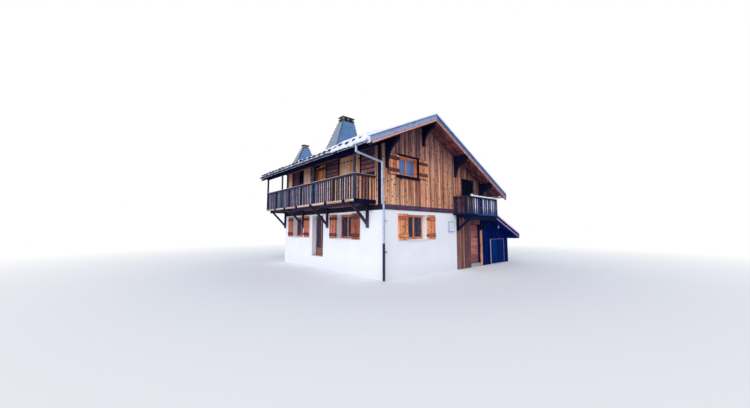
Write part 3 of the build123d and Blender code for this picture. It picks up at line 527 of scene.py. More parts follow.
# %% [markdown]
# Weathered larch or spruce turns silver-grey outside and keeps some brown near the ends. The
# railings could be built again from single boards, but the CAD panels already have the right
# cut, so only their board tones are counted off along each run.

# %% Railing finishes
LEFT_PITCH, GABLE_PITCH = 0.160, 0.200
RETURN_X, GABLE_END_Y = 1.01, 0.665
WEATHERED_AT = (0.0, 0.3, 0.6, 1.0)


def board_joints(axis, start, length, pitch):
    """Joints of a railing that holds as many whole boards as its length allows."""
    return axis, start, length / int(length / pitch)


# Long railing: silver boards with brown and navy ones between. Painted shade darkens the joints,
# the slot sides and a band under the cap, and turns it blue to the rear.
RAIL_LONG = timber(
    "grey_weathered_railing", "#fffaf4 #f8e0d4 #b4a4aa #3a3442", at=WEATHERED_AT,
    joints=board_joints("Y", HOME.y + BALCONY_Y[0], BALCONY_Y[1] - BALCONY_Y[0], LEFT_PITCH),
    tints="#c4d4fa #ffc8a0 #f4f4ff #f4b08c #141e48 #ffdcc8 #7484b8 #e4d4d8", tint=0.72,
    washes=((BACKWARD, 1.6, 5.0, "#2458a8", 0.6), (FORWARD, -3.2, -0.8, "#c8886c", 0.5)),
    streaks=(0.035, "#2c2a40", 0.7), knots=(0.022, 0.22, "#0c0b1c"), seams=(0.056, "#04061a"),
    edges=("Y", "#0e0c18"), above=("#2a2238", HOME.z + RAIL_TOP - 0.07))
# Its ends under the eave: browner, because rain doesn't reach them.
# As on the long run, its joints, slot sides and the band under the cap are painted shade.
RAIL_RETURN = timber(
    "brown_weathered_railing", "#ffc9ac #dc9c84 #a06c60 #4a2c32", at=WEATHERED_AT,
    joints=board_joints("X", HOME.x - RETURN_X, RETURN_X, LEFT_PITCH),
    tints="#ffb498 #c48878 #ffc8a8 #94666c", streaks=(0.035, "#4a2c38", 0.7),
    knots=(0.024, 0.20, "#140a14"), seams=(0.036, "#10060e"),
    edges=("X", "#1a1014"), above=("#30202c", HOME.z + RAIL_TOP - 0.07))
# Gable railing: dark boards, some white with frost, so it looks like teeth.
# Painted shade darkens its joints, slot sides and a band under the rail, and turns its foot deep
# blue.
RAIL_GABLE = timber(
    "frosted_dark_railing", "#dde6fa #96a4d6 #4e5c9c #1c2450", at=WEATHERED_AT, gloss=0.3,
    joints=board_joints(
        "X", HOME.x + GABLE_DECK_X[0], GABLE_DECK_X[1] - GABLE_DECK_X[0], GABLE_PITCH),
    tints="#ffffff #3c4c9c #b4c0ff #f4f4ff #182058", tint=0.7,
    washes=((LEFT, -5.6, -5.3, "#54364a", 0.85), (DOWN, -3.1, -2.85, "#12306c", 0.7)),
    streaks=(0.04, "#0c1858", 0.8), seams=(0.056, "#070b2c"),
    edges=("X", "#060820"), above=("#101430", HOME.z + GABLE_RAIL_TOP - 0.08))
# Its short ends: the same boards in shade, without frost.
RAIL_GABLE_END = timber(
    "dark_weathered_railing_end", "#8a6478 #543c56 #2c2040 #120e20", at=WEATHERED_AT, gloss=0.3,
    joints=board_joints("Y", HOME.y - GABLE_END_Y, GABLE_END_Y, GABLE_PITCH),
    seams=(0.045, "#0c0a1c"))
print("railing finishes made")

# %% [markdown]
# Masonry and metal. Lime render is nearly white and slightly uneven, with a damp grey foot.
# Zinc and painted sheet are dull metals whose mottling is a few centimetres wide. One flat
# colour would be quicker, but a wall of one white looks like paper.

# %% Mineral and metal surfaces
def lime_render(name, code, shade):
    """Floated lime: broad clouds of two near whites, fine grit, and a damp foot."""
    made, tree, shader, place = new_material(name)
    broad = clouds(tree, place, 1.3, 4.0)
    foot = fade(tree, coordinate(tree, place, "Z"), 0.0, 0.7, 0.4, 0.0)
    plain = ramp(tree, broad, [(0.30, shade), (0.70, code)])
    surface = blend(tree, calc(tree, "MULTIPLY", foot, broad), plain, "#a9a6a6")
    cover(tree, shader, surface, {"Roughness": 0.9})
    bump(tree, shader, clouds(tree, place, 160.0, 3.0, 0.7), 2.0, 0.5)
    return made


def dull_sheet(name, dark, pale, metallic, rough, mottle_mm=60, foot=None, sides=None,
               rear=None):
    """Sheet or plastic with soft mottling, and perhaps another colour at its foot, painted light
    on its sides, or painted shade toward its rear.
    """
    made, tree, shader, place = new_material(name)
    spots = clouds(tree, place, 1000 / mottle_mm / 2, 4.0, 0.6)
    surface = ramp(tree, spots, [(0.3, dark), (0.7, pale)])
    if sides:
        surface = light_and_shade_on_sides(tree, surface, *sides)
    if rear:
        surface = wash(tree, surface, place, BACKWARD, *rear)
    if foot:
        under = calc(tree, "LESS_THAN", coordinate(tree, place, "Z"), foot[1])
        surface = blend(tree, under, surface, foot[0])
    cover(tree, shader, surface, {"Metallic": metallic, "Roughness": rough})
    bump(tree, shader, spots, 1.0, 0.3)
    return made


print("mineral and metal surfaces ready")

# %% [markdown]
# Glass, snow and tiles. Most panes look into dark rooms. Real glass would need rooms with
# walls and light behind it, so a dark tint with a little clearness stands for them. Snow could
# scatter light inside, which is slow, and white with bluish hollows reads the same from here.

# %% Glass, snow and tile surfaces
def window_glass(name, code, clear):
    """Float glass: partly clear with a cold tint, smooth, and slightly wavy in an old frame."""
    made, tree, shader, place = new_material(name)
    cover(tree, shader, code, {"Roughness": 0.04, "IOR": 1.5, "Transmission Weight": clear})
    bump(tree, shader, clouds(tree, place, 2.5), 3.0, 0.15)
    return made


def fresh_snow():
    """Settled snow: white lumps with a faint blue of painted shade in the hollows."""
    made, tree, shader, place = new_material("settled_snow")
    lumps = clouds(tree, place, 9.0, 5.0)
    surface = ramp(tree, lumps, [(0.3, "#d6dff2"), (0.6, "#f2f5fc")])
    cover(tree, shader, surface, {"Roughness": 0.75})
    bump(tree, shader, lumps, 12.0, 0.6)
    return made


def clay_tile():
    """Brown-grey clay tiles, each fired a little differently."""
    made, tree, shader, place = new_material("grey_brown_clay_tiles")
    board = add(tree, "ShaderNodeAttribute", attribute_name="board").outputs["Fac"]
    specks = clouds(tree, place, 40.0, 4.0)
    half = calc(tree, "MULTIPLY", calc(tree, "ADD", board, specks), 0.5)
    surface = ramp(tree, half, [(0.2, "#3c3c50"), (0.5, "#24243a"), (0.8, "#14162a")])
    cover(tree, shader, surface, {"Roughness": 0.8})
    bump(tree, shader, specks, 2.0, 0.5)
    return made


print("glass, snow and tile surfaces ready")

# %% [markdown]
# Now each of these surfaces gets its name. A finish differs from the next in two near colours,
# in how metallic and how rough it is, and in the size of its mottling. They could all be one
# grey, but the eye tells zinc from plastic by just these small differences.

# %% Mineral, metal, glass and snow finishes
# Lime walls: near white with soft clouds, which shows that they were floated by hand. The
# concrete is greyer and the sills are paler, so each reads as another material.
RENDER = lime_render("white_lime_render", "#f4f6fc", "#eceff7")
CONCRETE = lime_render("floated_concrete", "#a8a8a6", "#8b8b8a")
SILL = lime_render("pale_stone_sill", "#e8eaf0", "#cfd3dc")
# Downpipe: pale dull zinc above a dark iron shoe. Gutter: zinc darkened as painted shade under the
# eave, deep blue to the rear.
ZINC = dull_sheet(
    "dull_zinc_with_iron_shoe", "#8f9fc0", "#c3cee6", 0.35, 0.45,
    foot=("#16264c", HOME.z + 1.45))
GUTTER = dull_sheet(
    "zinc_gutter_painted_shade", "#5c6c9c", "#a4b2dc", 0.1, 0.6, 300, rear=(-0.6, 0.3, "#06104a", 0.94))
# Chimneys: broad patches of blue-grey on the fronts, and paler plain grey on the sides, which is
# painted light.
CHIMNEY = dull_sheet(
    "blue_grey_chimney_sheet", "#5880b2", "#6e94c4", 0.1, 0.6, 220, sides=("X", "#8f9cae"))
# Their caps and the bricks between: soot takes the shine, and the bricks stay tan.
CAP = dull_sheet("sooty_cap", "#1d2230", "#343b4b", 0.1, 0.7)
BRICK = dull_sheet("tan_cap_bricks", "#8f7f5e", "#c0ad80", 0.0, 0.8)
# Small hardware: dull black iron, a bright handle, a grey frame and pale moulded covers.
# The black iron also serves as painted shade on the shutters: in plank joints, along battens and
# in the cut-outs.
IRON = dull_sheet("blackened_iron_and_painted_shade", "#15141a", "#2c2a30", 0.6, 0.5, 20)
BRIGHT = dull_sheet("bright_steel_handle", "#b8bcc4", "#e3e6ea", 0.9, 0.3, 20)
METER_GREY = dull_sheet("grey_meter_frame", "#8fa3be", "#a9bace", 0.0, 0.5)
PLASTIC = dull_sheet("pale_moulded_plastic", "#dde1e8", "#eceff4", 0.0, 0.45)
# Panes: most look into dark rooms, and the gable's pane has a painted reflection of the sky.
GLASS = window_glass("dark_room_glass", "#16214a", 0.2)
SKY_GLASS = window_glass("sky_lit_glass", "#5f86c8", 0.1)
# Snow and tiles: soft white lumps, over dark tiles that show only as short dark ends.
SNOW = fresh_snow()
TILE = clay_tile()
print(len(bpy.data.materials), "materials so far")

# %% [markdown]
# Many pieces are rows of boards and bars on a wall. They could be drawn four times, once for
# each direction. Here a piece is always drawn as on the front wall, with u along it, w out of
# it and z up, and a placing function puts it on the front, left, right or back wall.

# %% Places on the walls
def on_front(u, w, z):
    return Vector((u, -w, z))


def on_left(u, w, z):
    return Vector((-w, u, z))


def on_right(u, w, z):
    return Vector((WIDTH + w, u, z))


def on_back(u, w, z):
    return Vector((u, LENGTH + w, z))


def plain(x, y, z):
    return Vector((x, y, z))


print("places ready")

# %% [markdown]
# Boards are collected as closed solids in one list of corners and faces, with one random
# number for each solid. They could be cubes that are scaled and moved one by one, but a board
# cut to the roof's slope is no cube. A prism between two outlines covers both, and boxes,
# rows and frames are made from it.

# %% Collector of solids
class Solids:
    """Closed solids gathered for one mesh, with a random board number for each."""

    def __init__(self, place=plain, seed=1):
        self.place = place
        self.random = random.Random(seed)
        self.corners = []
        self.faces = []
        self.boards = []

    def prism(self, low, high, board=None):
        """Solid between two outlines that have their corners in the same order."""
        first, count = len(self.corners), len(low)
        number = self.random.random() if board is None else board
        self.corners += [self.place(*p) for p in (*low, *high)]
        self.boards += [number] * (2 * count)
        self.faces.append(list(range(first, first + count)))
        self.faces.append(list(range(first + count, first + 2 * count)))
        for i in range(count):
            j = (i + 1) % count
            self.faces.append([first + i, first + j, first + count + j, first + count + i])

    def across(self, outline, y0, y1):
        """Solid with one outline in x and z all the way from y0 to y1."""
        self.prism([(x, y0, z) for x, z in outline], [(x, y1, z) for x, z in outline])

    def board(self, u0, u1, w0, w1, z0, z1, z_end, board=None):
        """Upright board whose top slopes from z1 at u0 to z_end at u1."""
        self.prism([(u0, w0, z0), (u1, w0, z0), (u1, w1, z0), (u0, w1, z0)],
                   [(u0, w0, z1), (u1, w0, z_end), (u1, w1, z_end), (u0, w1, z1)], board)

    def box(self, u0, u1, w0, w1, z0, z1, board=None):
        self.board(u0, u1, w0, w1, z0, z1, z1, board)

    def row(self, u0, u1, count, gap, w0, w1, z0, z1):
        """Equal boards side by side, each short of its step by the gap at both edges."""
        step = (u1 - u0) / count
        for i in range(count):
            self.box(u0 + i * step + gap, u0 + (i + 1) * step - gap, w0, w1, z0, z1)

    def surround(self, u0, u1, z0, z1, bar, w0, w1, board):
        """Frame of four bars: foot, head and the two uprights between them."""
        for a, b, c, d in ((u0, u1, z0, z0 + bar), (u0, u1, z1 - bar, z1),
                           (u0, u0 + bar, z0 + bar, z1 - bar),
                           (u1 - bar, u1, z0 + bar, z1 - bar)):
            self.box(a, b, w0, w1, c, d, board)


print("collector ready")

# %% [markdown]
# The collected solids become a mesh with a board number on every corner, and the mesh becomes
# an object that rides on a body of the CAD model. Each board could be an object of its own,
# but a thousand objects are slow to handle, and the boards of a wall never move apart.

# %% From solids to a piece
def finish(name, solids, material, body="house", slot=None, replaces=(), bevel=0.0):
    """Turns collected solids into one object that rides on a body."""
    mesh = bpy.data.meshes.new(name)
    mesh.from_pydata([tuple(c + HOME) for c in solids.corners], [], solids.faces)
    numbers = mesh.attributes.new("board", "FLOAT", "POINT")
    numbers.data.foreach_set("value", solids.boards)
    work = bmesh.new()
    work.from_mesh(mesh)
    bmesh.ops.recalc_face_normals(work, faces=work.faces)
    if bevel:
        bmesh.ops.bevel(work, geom=work.edges[:], offset=bevel, segments=1, affect="EDGES")
    work.to_mesh(mesh)
    work.free()
    return dress(name, mesh, material, body, replaces)


def dress(name, mesh, material, body="house", replaces=()):
    """Object from a mesh, with its material, body and the CAD nodes that it stands for."""
    mesh.materials.clear()
    mesh.materials.append(material)
    made = bpy.data.objects.new(name, mesh)
    bpy.context.scene.collection.objects.link(made)
    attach(made, body)
    if replaces:
        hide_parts(*replaces)
    return made


def boxes(name, place, seed, material, *sizes, **where):
    """Piece made of a few boxes, each from and to in u, w and z, and perhaps a board number."""
    solids = Solids(place, seed)
    for size in sizes:
        solids.box(*size)
    return finish(name, solids, material, **where)


print("piece makers ready")

# %% [markdown]
# Cladding is drawn board by board. An array would give equal boards, but a real wall mixes
# widths, stops at openings and follows the roof, so a loop picks each width from a fixed seed
# and cuts the board where an opening or the slope asks for it.

# %% Cladding
def clad(solids, u0, u1, z0, top, holes=(), widths=(0.08, 0.17), gap=0.026, thick=0.024):
    """Upright boards of mixed width on a wall, cut round its openings and under its slope."""
    u = u0
    while u < u1 - 0.02:
        end = min(u1, u + solids.random.uniform(*widths))
        if u1 - end < 0.05:
            end = u1
        number = solids.random.random()
        out = thick + solids.random.uniform(-0.004, 0.004)
        a, b = u + gap / 2, end - gap / 2
        cuts = sorted({a, b} | {v for h in holes for v in h[:2] if a < v < b})
        for c, d in zip(cuts, cuts[1:]):
            middle, start = (c + d) / 2, z0
            for hole in sorted((h for h in holes if h[0] < middle < h[1]), key=lambda h: h[2]):
                if hole[2] > start:
                    solids.box(c, d, 0, out, start, hole[2], number)
                start = max(start, hole[3])
            solids.board(c, d, 0, out, start, top(c), top(d), number)
        u = end


print("cladding ready")

# %% [markdown]
# The camera stands where the photographer stood. Its place, turn and lens were solved from the
# house's straight edges. The light is plain: an even pale sky, one very soft lamp from the
# left front and a weaker low one from the left, like light that comes back off snow. Hard
# sun would draw crisp shadows that the overcast day in the photo doesn't have.

# %% Camera and lamps
EYE = HOME + Vector((-7.711, -8.196, 2.0))
FOCUS_PIXELS, PICTURE_PIXELS, SENSOR_MM = 288.65, 750, 36.0
PITCH, YAW = 4.95, -41.32
FLOOR_REACH, FLOOR_DROP = 150.0, 0.002
PURE_WHITE = (1.0, 1.0, 1.0, 1.0)


def placed(name, data, turn, at=(0.0, 0.0, 0.0)):
    """Puts a camera or lamp into the scene, turned by degrees."""
    made = bpy.data.objects.new(name, data)
    made.location = at
    made.rotation_euler = [math.radians(v) for v in turn]
    bpy.context.scene.collection.objects.link(made)
    return made


def soft_sun(name, energy, spread, tint, turn):
    data = bpy.data.lights.new(name, "SUN")
    data.energy, data.angle, data.color = energy, math.radians(spread), tint
    placed(name, data, turn)


camera_data = bpy.data.cameras.new("camera")
camera_data.sensor_width = SENSOR_MM
camera_data.lens = FOCUS_PIXELS / PICTURE_PIXELS * SENSOR_MM
camera_data.clip_end = 400.0
bpy.context.scene.camera = placed("camera", camera_data, (90 + PITCH, 0, YAW), EYE)
bpy.context.scene.view_settings.view_transform = "Standard"
soft_sun("soft_lamp", 1.25, 40, (1.0, 0.97, 0.93), (52, 0, -42))
soft_sun("snow_glow", 0.9, 24, (0.96, 0.97, 1.0), (79, 0, -80))
print("camera at", tuple(round(v, 2) for v in EYE))

# %% [markdown]
# The sky lights the house but shows as plain white, and the floor fades to white far away. A
# studio with walls would do the same, but it would throw its own colours on the snow. A mix
# that asks which ray is looking keeps light and background apart.

# %% Sky and floor
world = bpy.data.worlds.new("even_sky")
bpy.context.scene.world = world
world.use_nodes = True
sky = world.node_tree
rays = add(sky, "ShaderNodeLightPath").outputs
seen = calc(sky, "MAXIMUM", rays["Is Camera Ray"], rays["Is Transmission Ray"])
lit = add(sky, "ShaderNodeBackground", {"Color": colour("#e9eefb"), "Strength": 0.62})
white = add(sky, "ShaderNodeBackground", {"Color": PURE_WHITE, "Strength": 1.0})
both = add(sky, "ShaderNodeMixShader", {0: seen, 1: lit.outputs[0], 2: white.outputs[0]})
sky.links.new(both.outputs[0], sky.nodes["World Output"].inputs["Surface"])

floor_material, tree, shader, place = new_material("pale_floor")
cover(tree, shader, "#eef1f6", {"Roughness": 0.9})
distance = add(tree, "ShaderNodeVectorMath", {0: place}, operation="LENGTH").outputs["Value"]
to_camera = add(tree, "ShaderNodeLightPath").outputs["Is Camera Ray"]
part = calc(tree, "MULTIPLY", fade(tree, distance, 9.0, 26.0), to_camera)
glow = add(tree, "ShaderNodeEmission", {"Color": PURE_WHITE, "Strength": 1.0})
faded = add(tree, "ShaderNodeMixShader", {0: part, 1: shader.outputs[0], 2: glow.outputs[0]})
tree.links.new(faded.outputs[0], tree.nodes["Material Output"].inputs["Surface"])
floor_mesh = bpy.data.meshes.new("pale_floor")
around = ((-1, -1), (1, -1), (1, 1), (-1, 1))
floor_mesh.from_pydata(
    [(x * FLOOR_REACH, y * FLOOR_REACH, -FLOOR_DROP) for x, y in around], [], [(0, 1, 2, 3)])
floor_mesh.materials.append(floor_material)
floor = bpy.data.objects.new("pale_floor", floor_mesh)
bpy.context.scene.collection.objects.link(floor)
floor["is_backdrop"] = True
print("sky has", len(sky.nodes), "nodes, floor has", len(tree.nodes))

# %% [markdown]
# The two long edges of the roof wear folded sheet over a dark board. The bands of the sheet
# follow the slope, so the pattern measures how far a point lies under the ridge line. Strips
# of geometry could make the bands, but the folds are only a millimetre or two high. Left of
# the ridge the sheet is pale and worn, and right of it a dark blue band shows.

# %% Verge sheet
verge_material, tree, shader, place = new_material("folded_verge_sheet")
right_of_ridge = calc(tree, "SUBTRACT", coordinate(tree, place, "X"), HOME.x + RIDGE_X)
away = calc(tree, "ABSOLUTE", right_of_ridge)
fall = calc(tree, "MULTIPLY_ADD", away, SLOPE, coordinate(tree, place, "Z"))
level = fade(tree, fall, HOME.z + RIDGE_Z - 0.30, HOME.z + RIDGE_Z + 0.05)
left_bands = ramp(tree, level, [
    (0.0, "#120e22"), (0.27, "#3a1424"), (0.33, "#a8b0d4"), (0.60, "#9ba4c6"),
    (0.83, "#8f9cc0"), (0.845, "#6480aa"), (1.0, "#58749f")])
right_bands = ramp(tree, level, [
    (0.0, "#0c0c20"), (0.27, "#2c1020"), (0.36, "#8898c4"), (0.60, "#52689c"),
    (0.66, "#40568c"), (0.68, "#0c2050"), (0.80, "#0f2658"), (0.83, "#4c74b4"),
    (1.0, "#6c90c8")])
on_right_half = calc(tree, "GREATER_THAN", right_of_ridge, 0.0)
bands = blend(tree, on_right_half, left_bands, right_bands)
dents = clouds(tree, place, 6.0, 4.0)
dented = ramp(tree, dents, [(0.32, "#7f8ba8"), (0.5, "#ffffff")])
cover(tree, shader, blend(tree, 0.6, bands, dented, "MULTIPLY"),
      {"Roughness": 0.6, "Specular IOR Level": 0.3})
bump(tree, shader, dents, 3.0, 0.5)
print("verge sheet has", len(tree.nodes), "nodes")

# %% [markdown]
# Where a CAD solid already has the right shape, it only needs its finish. This list gives each
# such node its material. Walls that get boards keep a dark finish behind them, which shows as
# the shadow in the gaps.

# %% Finishes of the CAD nodes
NODE_FINISH = {
    RENDER: "front_wall left_wall_front left_wall_rear left_wall_lintel back_wall",
    DARK_UP: "entrance_wall entrance_lintel right_wall gable_wall_front gable_wall_back "
             "gable_door balcony_door",
    POST_BLUE: "balcony_posts",
    NAVY_BOARDS: "shed_front_wall shed_corner_wall shed_gable shed_side_wall shed_back_wall "
                 "shed_roof",
    BLUE_BOARDS: "shed_door", BRACES: "left_balcony_frame", SHADE_BLUE_BEAM: "gable_balcony_deck",
    CONCRETE: "ground_floor", FLOOR_BOARDS: "first_floor", BELT: "belt_beams",
    LOGS: "upper_left_wall", verge_material: "verge_front verge_back",
    GUTTER: "gutter_left gutter_right", ZINC: "downpipe",
    DARK: "left_purlin ridge_purlin middle_purlin right_purlin gable_balcony_frame",
    DECK: "left_balcony_deck", RAIL_LONG: "left_railing",
    RAIL_RETURN: "left_railing_front left_railing_rear", RAIL_GABLE: "gable_railing",
    RAIL_GABLE_END: "gable_railing_left gable_railing_right",
    RED_PLANKS: "entrance_door", PLANK_PINE: "plank_door", METER_GREY: "meter_box",
}
for material, names in NODE_FINISH.items():
    for name in names.split():
        NODES[name].data.materials.clear()
        NODES[name].data.materials.append(material)
print(sum(len(names.split()) for names in NODE_FINISH.values()), "nodes finished")

# %% [markdown]
# The gables and the entrance bay are clad in upright boards of mixed width, nailed over the
# timber wall. A bump pattern could draw the joints, but each is a real board here, a few
# millimetres more or less thick than the next, so the gaps and edges catch light as they do
# outside. They stop at the windows and follow the roof's slope.

# %% Wall boards
def wall_top(u):
    return roof_under(u) - 0.005


def entry_top(u):
    return GABLE_DECK_TOP - 0.062


def side_top(y):
    return roof_under(WIDTH) - 0.24


WIDE_BOARDS, BOARD_FOOT = (0.12, 0.2), 0.02
gable = Solids(on_front, seed=11)
clad(gable, 0.0, BAY_X, BELT_TOP, wall_top, holes=(GABLE_WINDOW,))
clad(gable, BAY_X, WIDTH, GABLE_DECK_TOP, wall_top, holes=(GABLE_DOOR,))
finish("gable_boards", gable, LIT_AND_SHADED_SPRUCE, slot="weathered_boards")

back = Solids(on_back, seed=12)
clad(back, 0.0, WIDTH, BELT_TOP, wall_top, holes=(BACK_GABLE_WINDOW,))
finish("back_gable_boards", back, SHADED, slot="weathered_boards")

entry = Solids(on_front, seed=13)
clad(entry, BAY_X, ENTRANCE[0], BOARD_FOOT, entry_top)
clad(entry, ENTRANCE[0], ENTRANCE[1], ENTRANCE[3], entry_top)
finish("entrance_boards", entry, ENTRANCE_BOARDS, slot="weathered_boards")

side = Solids(on_right, seed=14)
clad(side, SHED_BACK, LENGTH, BOARD_FOOT, side_top, widths=WIDE_BOARDS)
clad(side, 0.0, SHED_BACK, shed_top(WIDTH) + 0.03, side_top, widths=WIDE_BOARDS)
finish("right_wall_boards", side, SHADED, slot="weathered_boards")
print(len(gable.faces) // 6, "boards on the front gable")

# %% [markdown]
# A few trims finish the timber walls: a proud belt board where boards meet render, upright
# corner boards, door casings on the log wall, and the sunlit post right of the entrance. The
# cladding could cover these places too, but trims lie across its boards and in front of them.

# %% Belt, corner and casing boards
belt_foot, left_top = GROUND_TOP + 0.01, roof_under(0.0) - 0.225
boxes("front_belt_board", on_front, 21, BELT,
      (0.0, BAY_X, 0.0, 0.03, belt_foot, BELT_TOP), slot="dark_timber")
boxes("left_belt_board", on_left, 22, BELT_LEFT,
      (-0.03, LENGTH, 0.0, 0.03, belt_foot, BELT_TOP), slot="dark_timber")
boxes("left_corner_boards", on_left, 23, LIT_AND_SHADED_SPRUCE,
      (0.0, 0.17, 0.0, 0.03, BELT_TOP, left_top, 0.7),
      (0.385, 0.55, 0.0, 0.03, BELT_TOP, left_top, 0.7), slot="weathered_boards")
casings = [(0.172, 0.383, 0.0, 0.018, BELT_TOP, left_top),
           (PLANK_DOOR[0] - 0.06, PLANK_DOOR[0], -0.02, 0.03, DECK_TOP, PLANK_DOOR[3])]
for u0, u1, z0, z1 in (PLANK_DOOR, UPPER_LEFT_WINDOW, BALCONY_DOOR):
    casings.append((u0 - 0.05, u1 + 0.05, -0.02, 0.03, z1, z1 + 0.09))
    casings.append((u1, u1 + 0.07, -0.02, 0.03, z0, z1))
boxes("left_door_casings", on_left, 24, DARK_UP, *casings, slot="dark_timber")
boxes("entrance_post", on_front, 25, SUNLIT_POST,
      (ENTRANCE[1], WIDTH, 0.0, 0.035, BOARD_FOOT, GABLE_DECK_TOP - 0.07, 0.15),
      slot="weathered_boards")
print("trims placed")

# %% [markdown]
# A casement window is a frame, two sashes that meet in the middle, and thin glass. Folded back
# beside it are plank shutters: upright planks held by two cross battens, iron straps at the
# hinge side, and a small cut-out, which is a dark diamond of painted shade. Painted shade also
# fills the joints between the planks and lines each batten. One function draws them all as on
# the front wall, because the joiner made them all the same way. The deep reveal of the rendered
# wall stays in the CAD wall, and in the timber wall it is lined with boards.

# %% Window and shutter drawing
PLANK_WIDTH, PLANK_THICK, SHUTTER_WIDTH = 0.115, 0.028, 0.6
BATTEN_HIGH, BATTEN_THICK, BATTEN_INSET = 0.125, 0.024, 0.01
BATTEN_LOW, BATTEN_DOWN = 0.12, 0.245
FRAME_BAR, SASH_BAR, LINING = 0.05, 0.045, 0.02
STONE_REVEAL, LIFT_ON_BOARDS, LIFT_ON_STONE = 0.25, 0.028, 0.004


def shutter(wood, battens, iron, u0, u1, z0, z1, w, hinge_side):
    """Plank shutter lying on the wall at depth w, with its battens, pins, and painted shade: dark
    in the plank joints, lines along the battens and a diamond for the cut-out.
    """
    face, count = w + PLANK_THICK, max(3, round((u1 - u0) / PLANK_WIDTH))
    wood.row(u0, u1, count, 0.003, w, face, z0, z1)
    # A dark backing behind the planks: painted shade in their joints.
    iron.box(u0 + 0.004, u1 - 0.004, w + 0.001, w + 0.022, z0 + 0.004, z1 - 0.004)
    start, end, edge = u0 + BATTEN_INSET, u1 - BATTEN_INSET, u0 if hinge_side < 0 else u1
    for z in (z0 + BATTEN_LOW, z1 - BATTEN_DOWN):
        head = z + BATTEN_HIGH
        battens.box(start, end, face, face + BATTEN_THICK, z, head)
        # A dark line above and below each batten: its painted shadow.
        for low, high in ((z - 0.012, z), (head, head + 0.012)):
            iron.box(start, end, face - 0.001, face + 0.006, low, high)
        iron.box(edge - 0.022, edge + 0.022, w - 0.004, w + 0.06, z + 0.025, z + 0.085)
    u, z = (u0 + u1) / 2, z0 + 0.5 * (z1 - z0)
    # The cut-out is a dark diamond: painted shade where the hole would be.
    diamond = [(u - 0.062, z), (u, z - 0.03), (u + 0.062, z), (u, z + 0.03)]
    iron.prism([(a, face - 0.0005, b) for a, b in diamond],
               [(a, face + 0.0015, b) for a, b in diamond])


def casement(name, opening, place, depth, shutters, seed, timber_wall=False, pane=GLASS,
             joinery=PINE, batten=PINE):
    """Window with frame, sashes, glass and shutters. Shutters are (u0, u1, hinge side)."""
    u0, u1, z0, z1 = opening
    wood, glass, dark, iron, stone, battens = [Solids(place, seed + i) for i in range(6)]
    middle, low, high = (u0 + u1) / 2, z0 + FRAME_BAR, z1 - FRAME_BAR
    wood.surround(u0, u1, z0, z1, FRAME_BAR, -depth - 0.06, -depth, 0.3)
    for a, b in ((u0 + FRAME_BAR, middle), (middle, u1 - FRAME_BAR)):
        wood.surround(a, b, low, high, SASH_BAR, -depth - 0.05, -depth + 0.012, 0.35)
        glass.box(a + SASH_BAR, b - SASH_BAR, -depth - 0.026, -depth - 0.02,
                  low + SASH_BAR, high - SASH_BAR)
    wood.box(middle - 0.022, middle + 0.022, -depth, -depth + 0.024, low, high, 0.25)
    lift = LIFT_ON_BOARDS if timber_wall else LIFT_ON_STONE
    for a, b, hinge in shutters:
        shutter(wood, battens, iron, a, b, z0 - 0.02, z1 + 0.02, lift, hinge)
        if timber_wall:
            # A dark block behind each shutter, a little larger than it: painted shade in the gap
            # between shutter and boards.
            dark.box(a - 0.018, b + 0.018, 0.0, lift + 0.003, z0 - 0.045, z1 + 0.045)
    if timber_wall:
        for a, b, c, d in ((u0, u0 + LINING, z0, z1), (u1 - LINING, u1, z0, z1),
                           (u0, u1, z0, z0 + LINING), (u0, u1, z1 - LINING, z1)):
            wood.box(a, b, -depth, LINING, c, d, 0.1)
        dark.box(u0 - 0.10, u1 + 0.01, 0.0, 0.06, z1 - 0.015, z1 + 0.06)
        dark.box(u0 - 0.14, u1 + 0.01, 0.0, 0.075, z0 - 0.125, z0 - 0.005)
        dark.box(u1 - 0.085, u1 + 0.012, 0.0, 0.04, z0, z1)
        finish(name + "_dark_trim_and_shade", dark, DARK, slot="dark_timber")
    else:
        stone.box(u0 - 0.06, u1 + 0.06, -depth + 0.002, 0.06, z0 - 0.055, z0 + 0.005)
        finish(name + "_sill", stone, SILL, bevel=0.006)
    finish(name + "_iron", iron, IRON)
    finish(name + "_battens", battens, batten, slot="honey_pine")
    finish(name + "_glass", glass, pane)
    return finish(name + "_joinery", wood, joinery, slot="honey_pine", replaces=(name,))


print("window drawing ready")

# %% [markdown]
# Most windows have a shutter on each side. The rear window of the left wall and the upper
# left window have one, and a loose one hangs beside the terrace door. On the left wall the
# pine has reddened, and the battens are painted dark.

# %% Windows and shutters
def pair(opening):
    """A shutter on each side of an opening."""
    u0, u1 = opening[:2]
    return (u0 - SHUTTER_WIDTH, u0, 1), (u1, u1 + SHUTTER_WIDTH, -1)


casement("front_window", FRONT_WINDOW, on_front, STONE_REVEAL, pair(FRONT_WINDOW), 31)
casement("left_window_front", LEFT_FRONT_WINDOW, on_left, STONE_REVEAL,
         pair(LEFT_FRONT_WINDOW), 36, joinery=RED_PINE, batten=BATTEN)
casement("left_window_rear", LEFT_REAR_WINDOW, on_left, STONE_REVEAL,
         pair(LEFT_REAR_WINDOW)[1:], 136, joinery=RED_PINE, batten=BATTEN)
u0, u1 = GABLE_WINDOW[:2]
casement("gable_window", GABLE_WINDOW, on_front, 0.17,
         ((u0 - SHUTTER_WIDTH, u0, 1), (u1 + 0.025, u1 + 0.575, -1)), 46,
         timber_wall=True, pane=SKY_GLASS, batten=BATTEN)
u0 = UPPER_LEFT_WINDOW[0]
casement("upper_left_window", UPPER_LEFT_WINDOW, on_left, 0.1, ((u0 - 0.64, u0, 1),), 146,
         timber_wall=True, batten=BATTEN)
casement("back_window", BACK_WINDOW, on_back, STONE_REVEAL, pair(BACK_WINDOW), 56)
casement("back_gable_window", BACK_GABLE_WINDOW, on_back, 0.2, pair(BACK_GABLE_WINDOW), 156,
         timber_wall=True, batten=BATTEN)

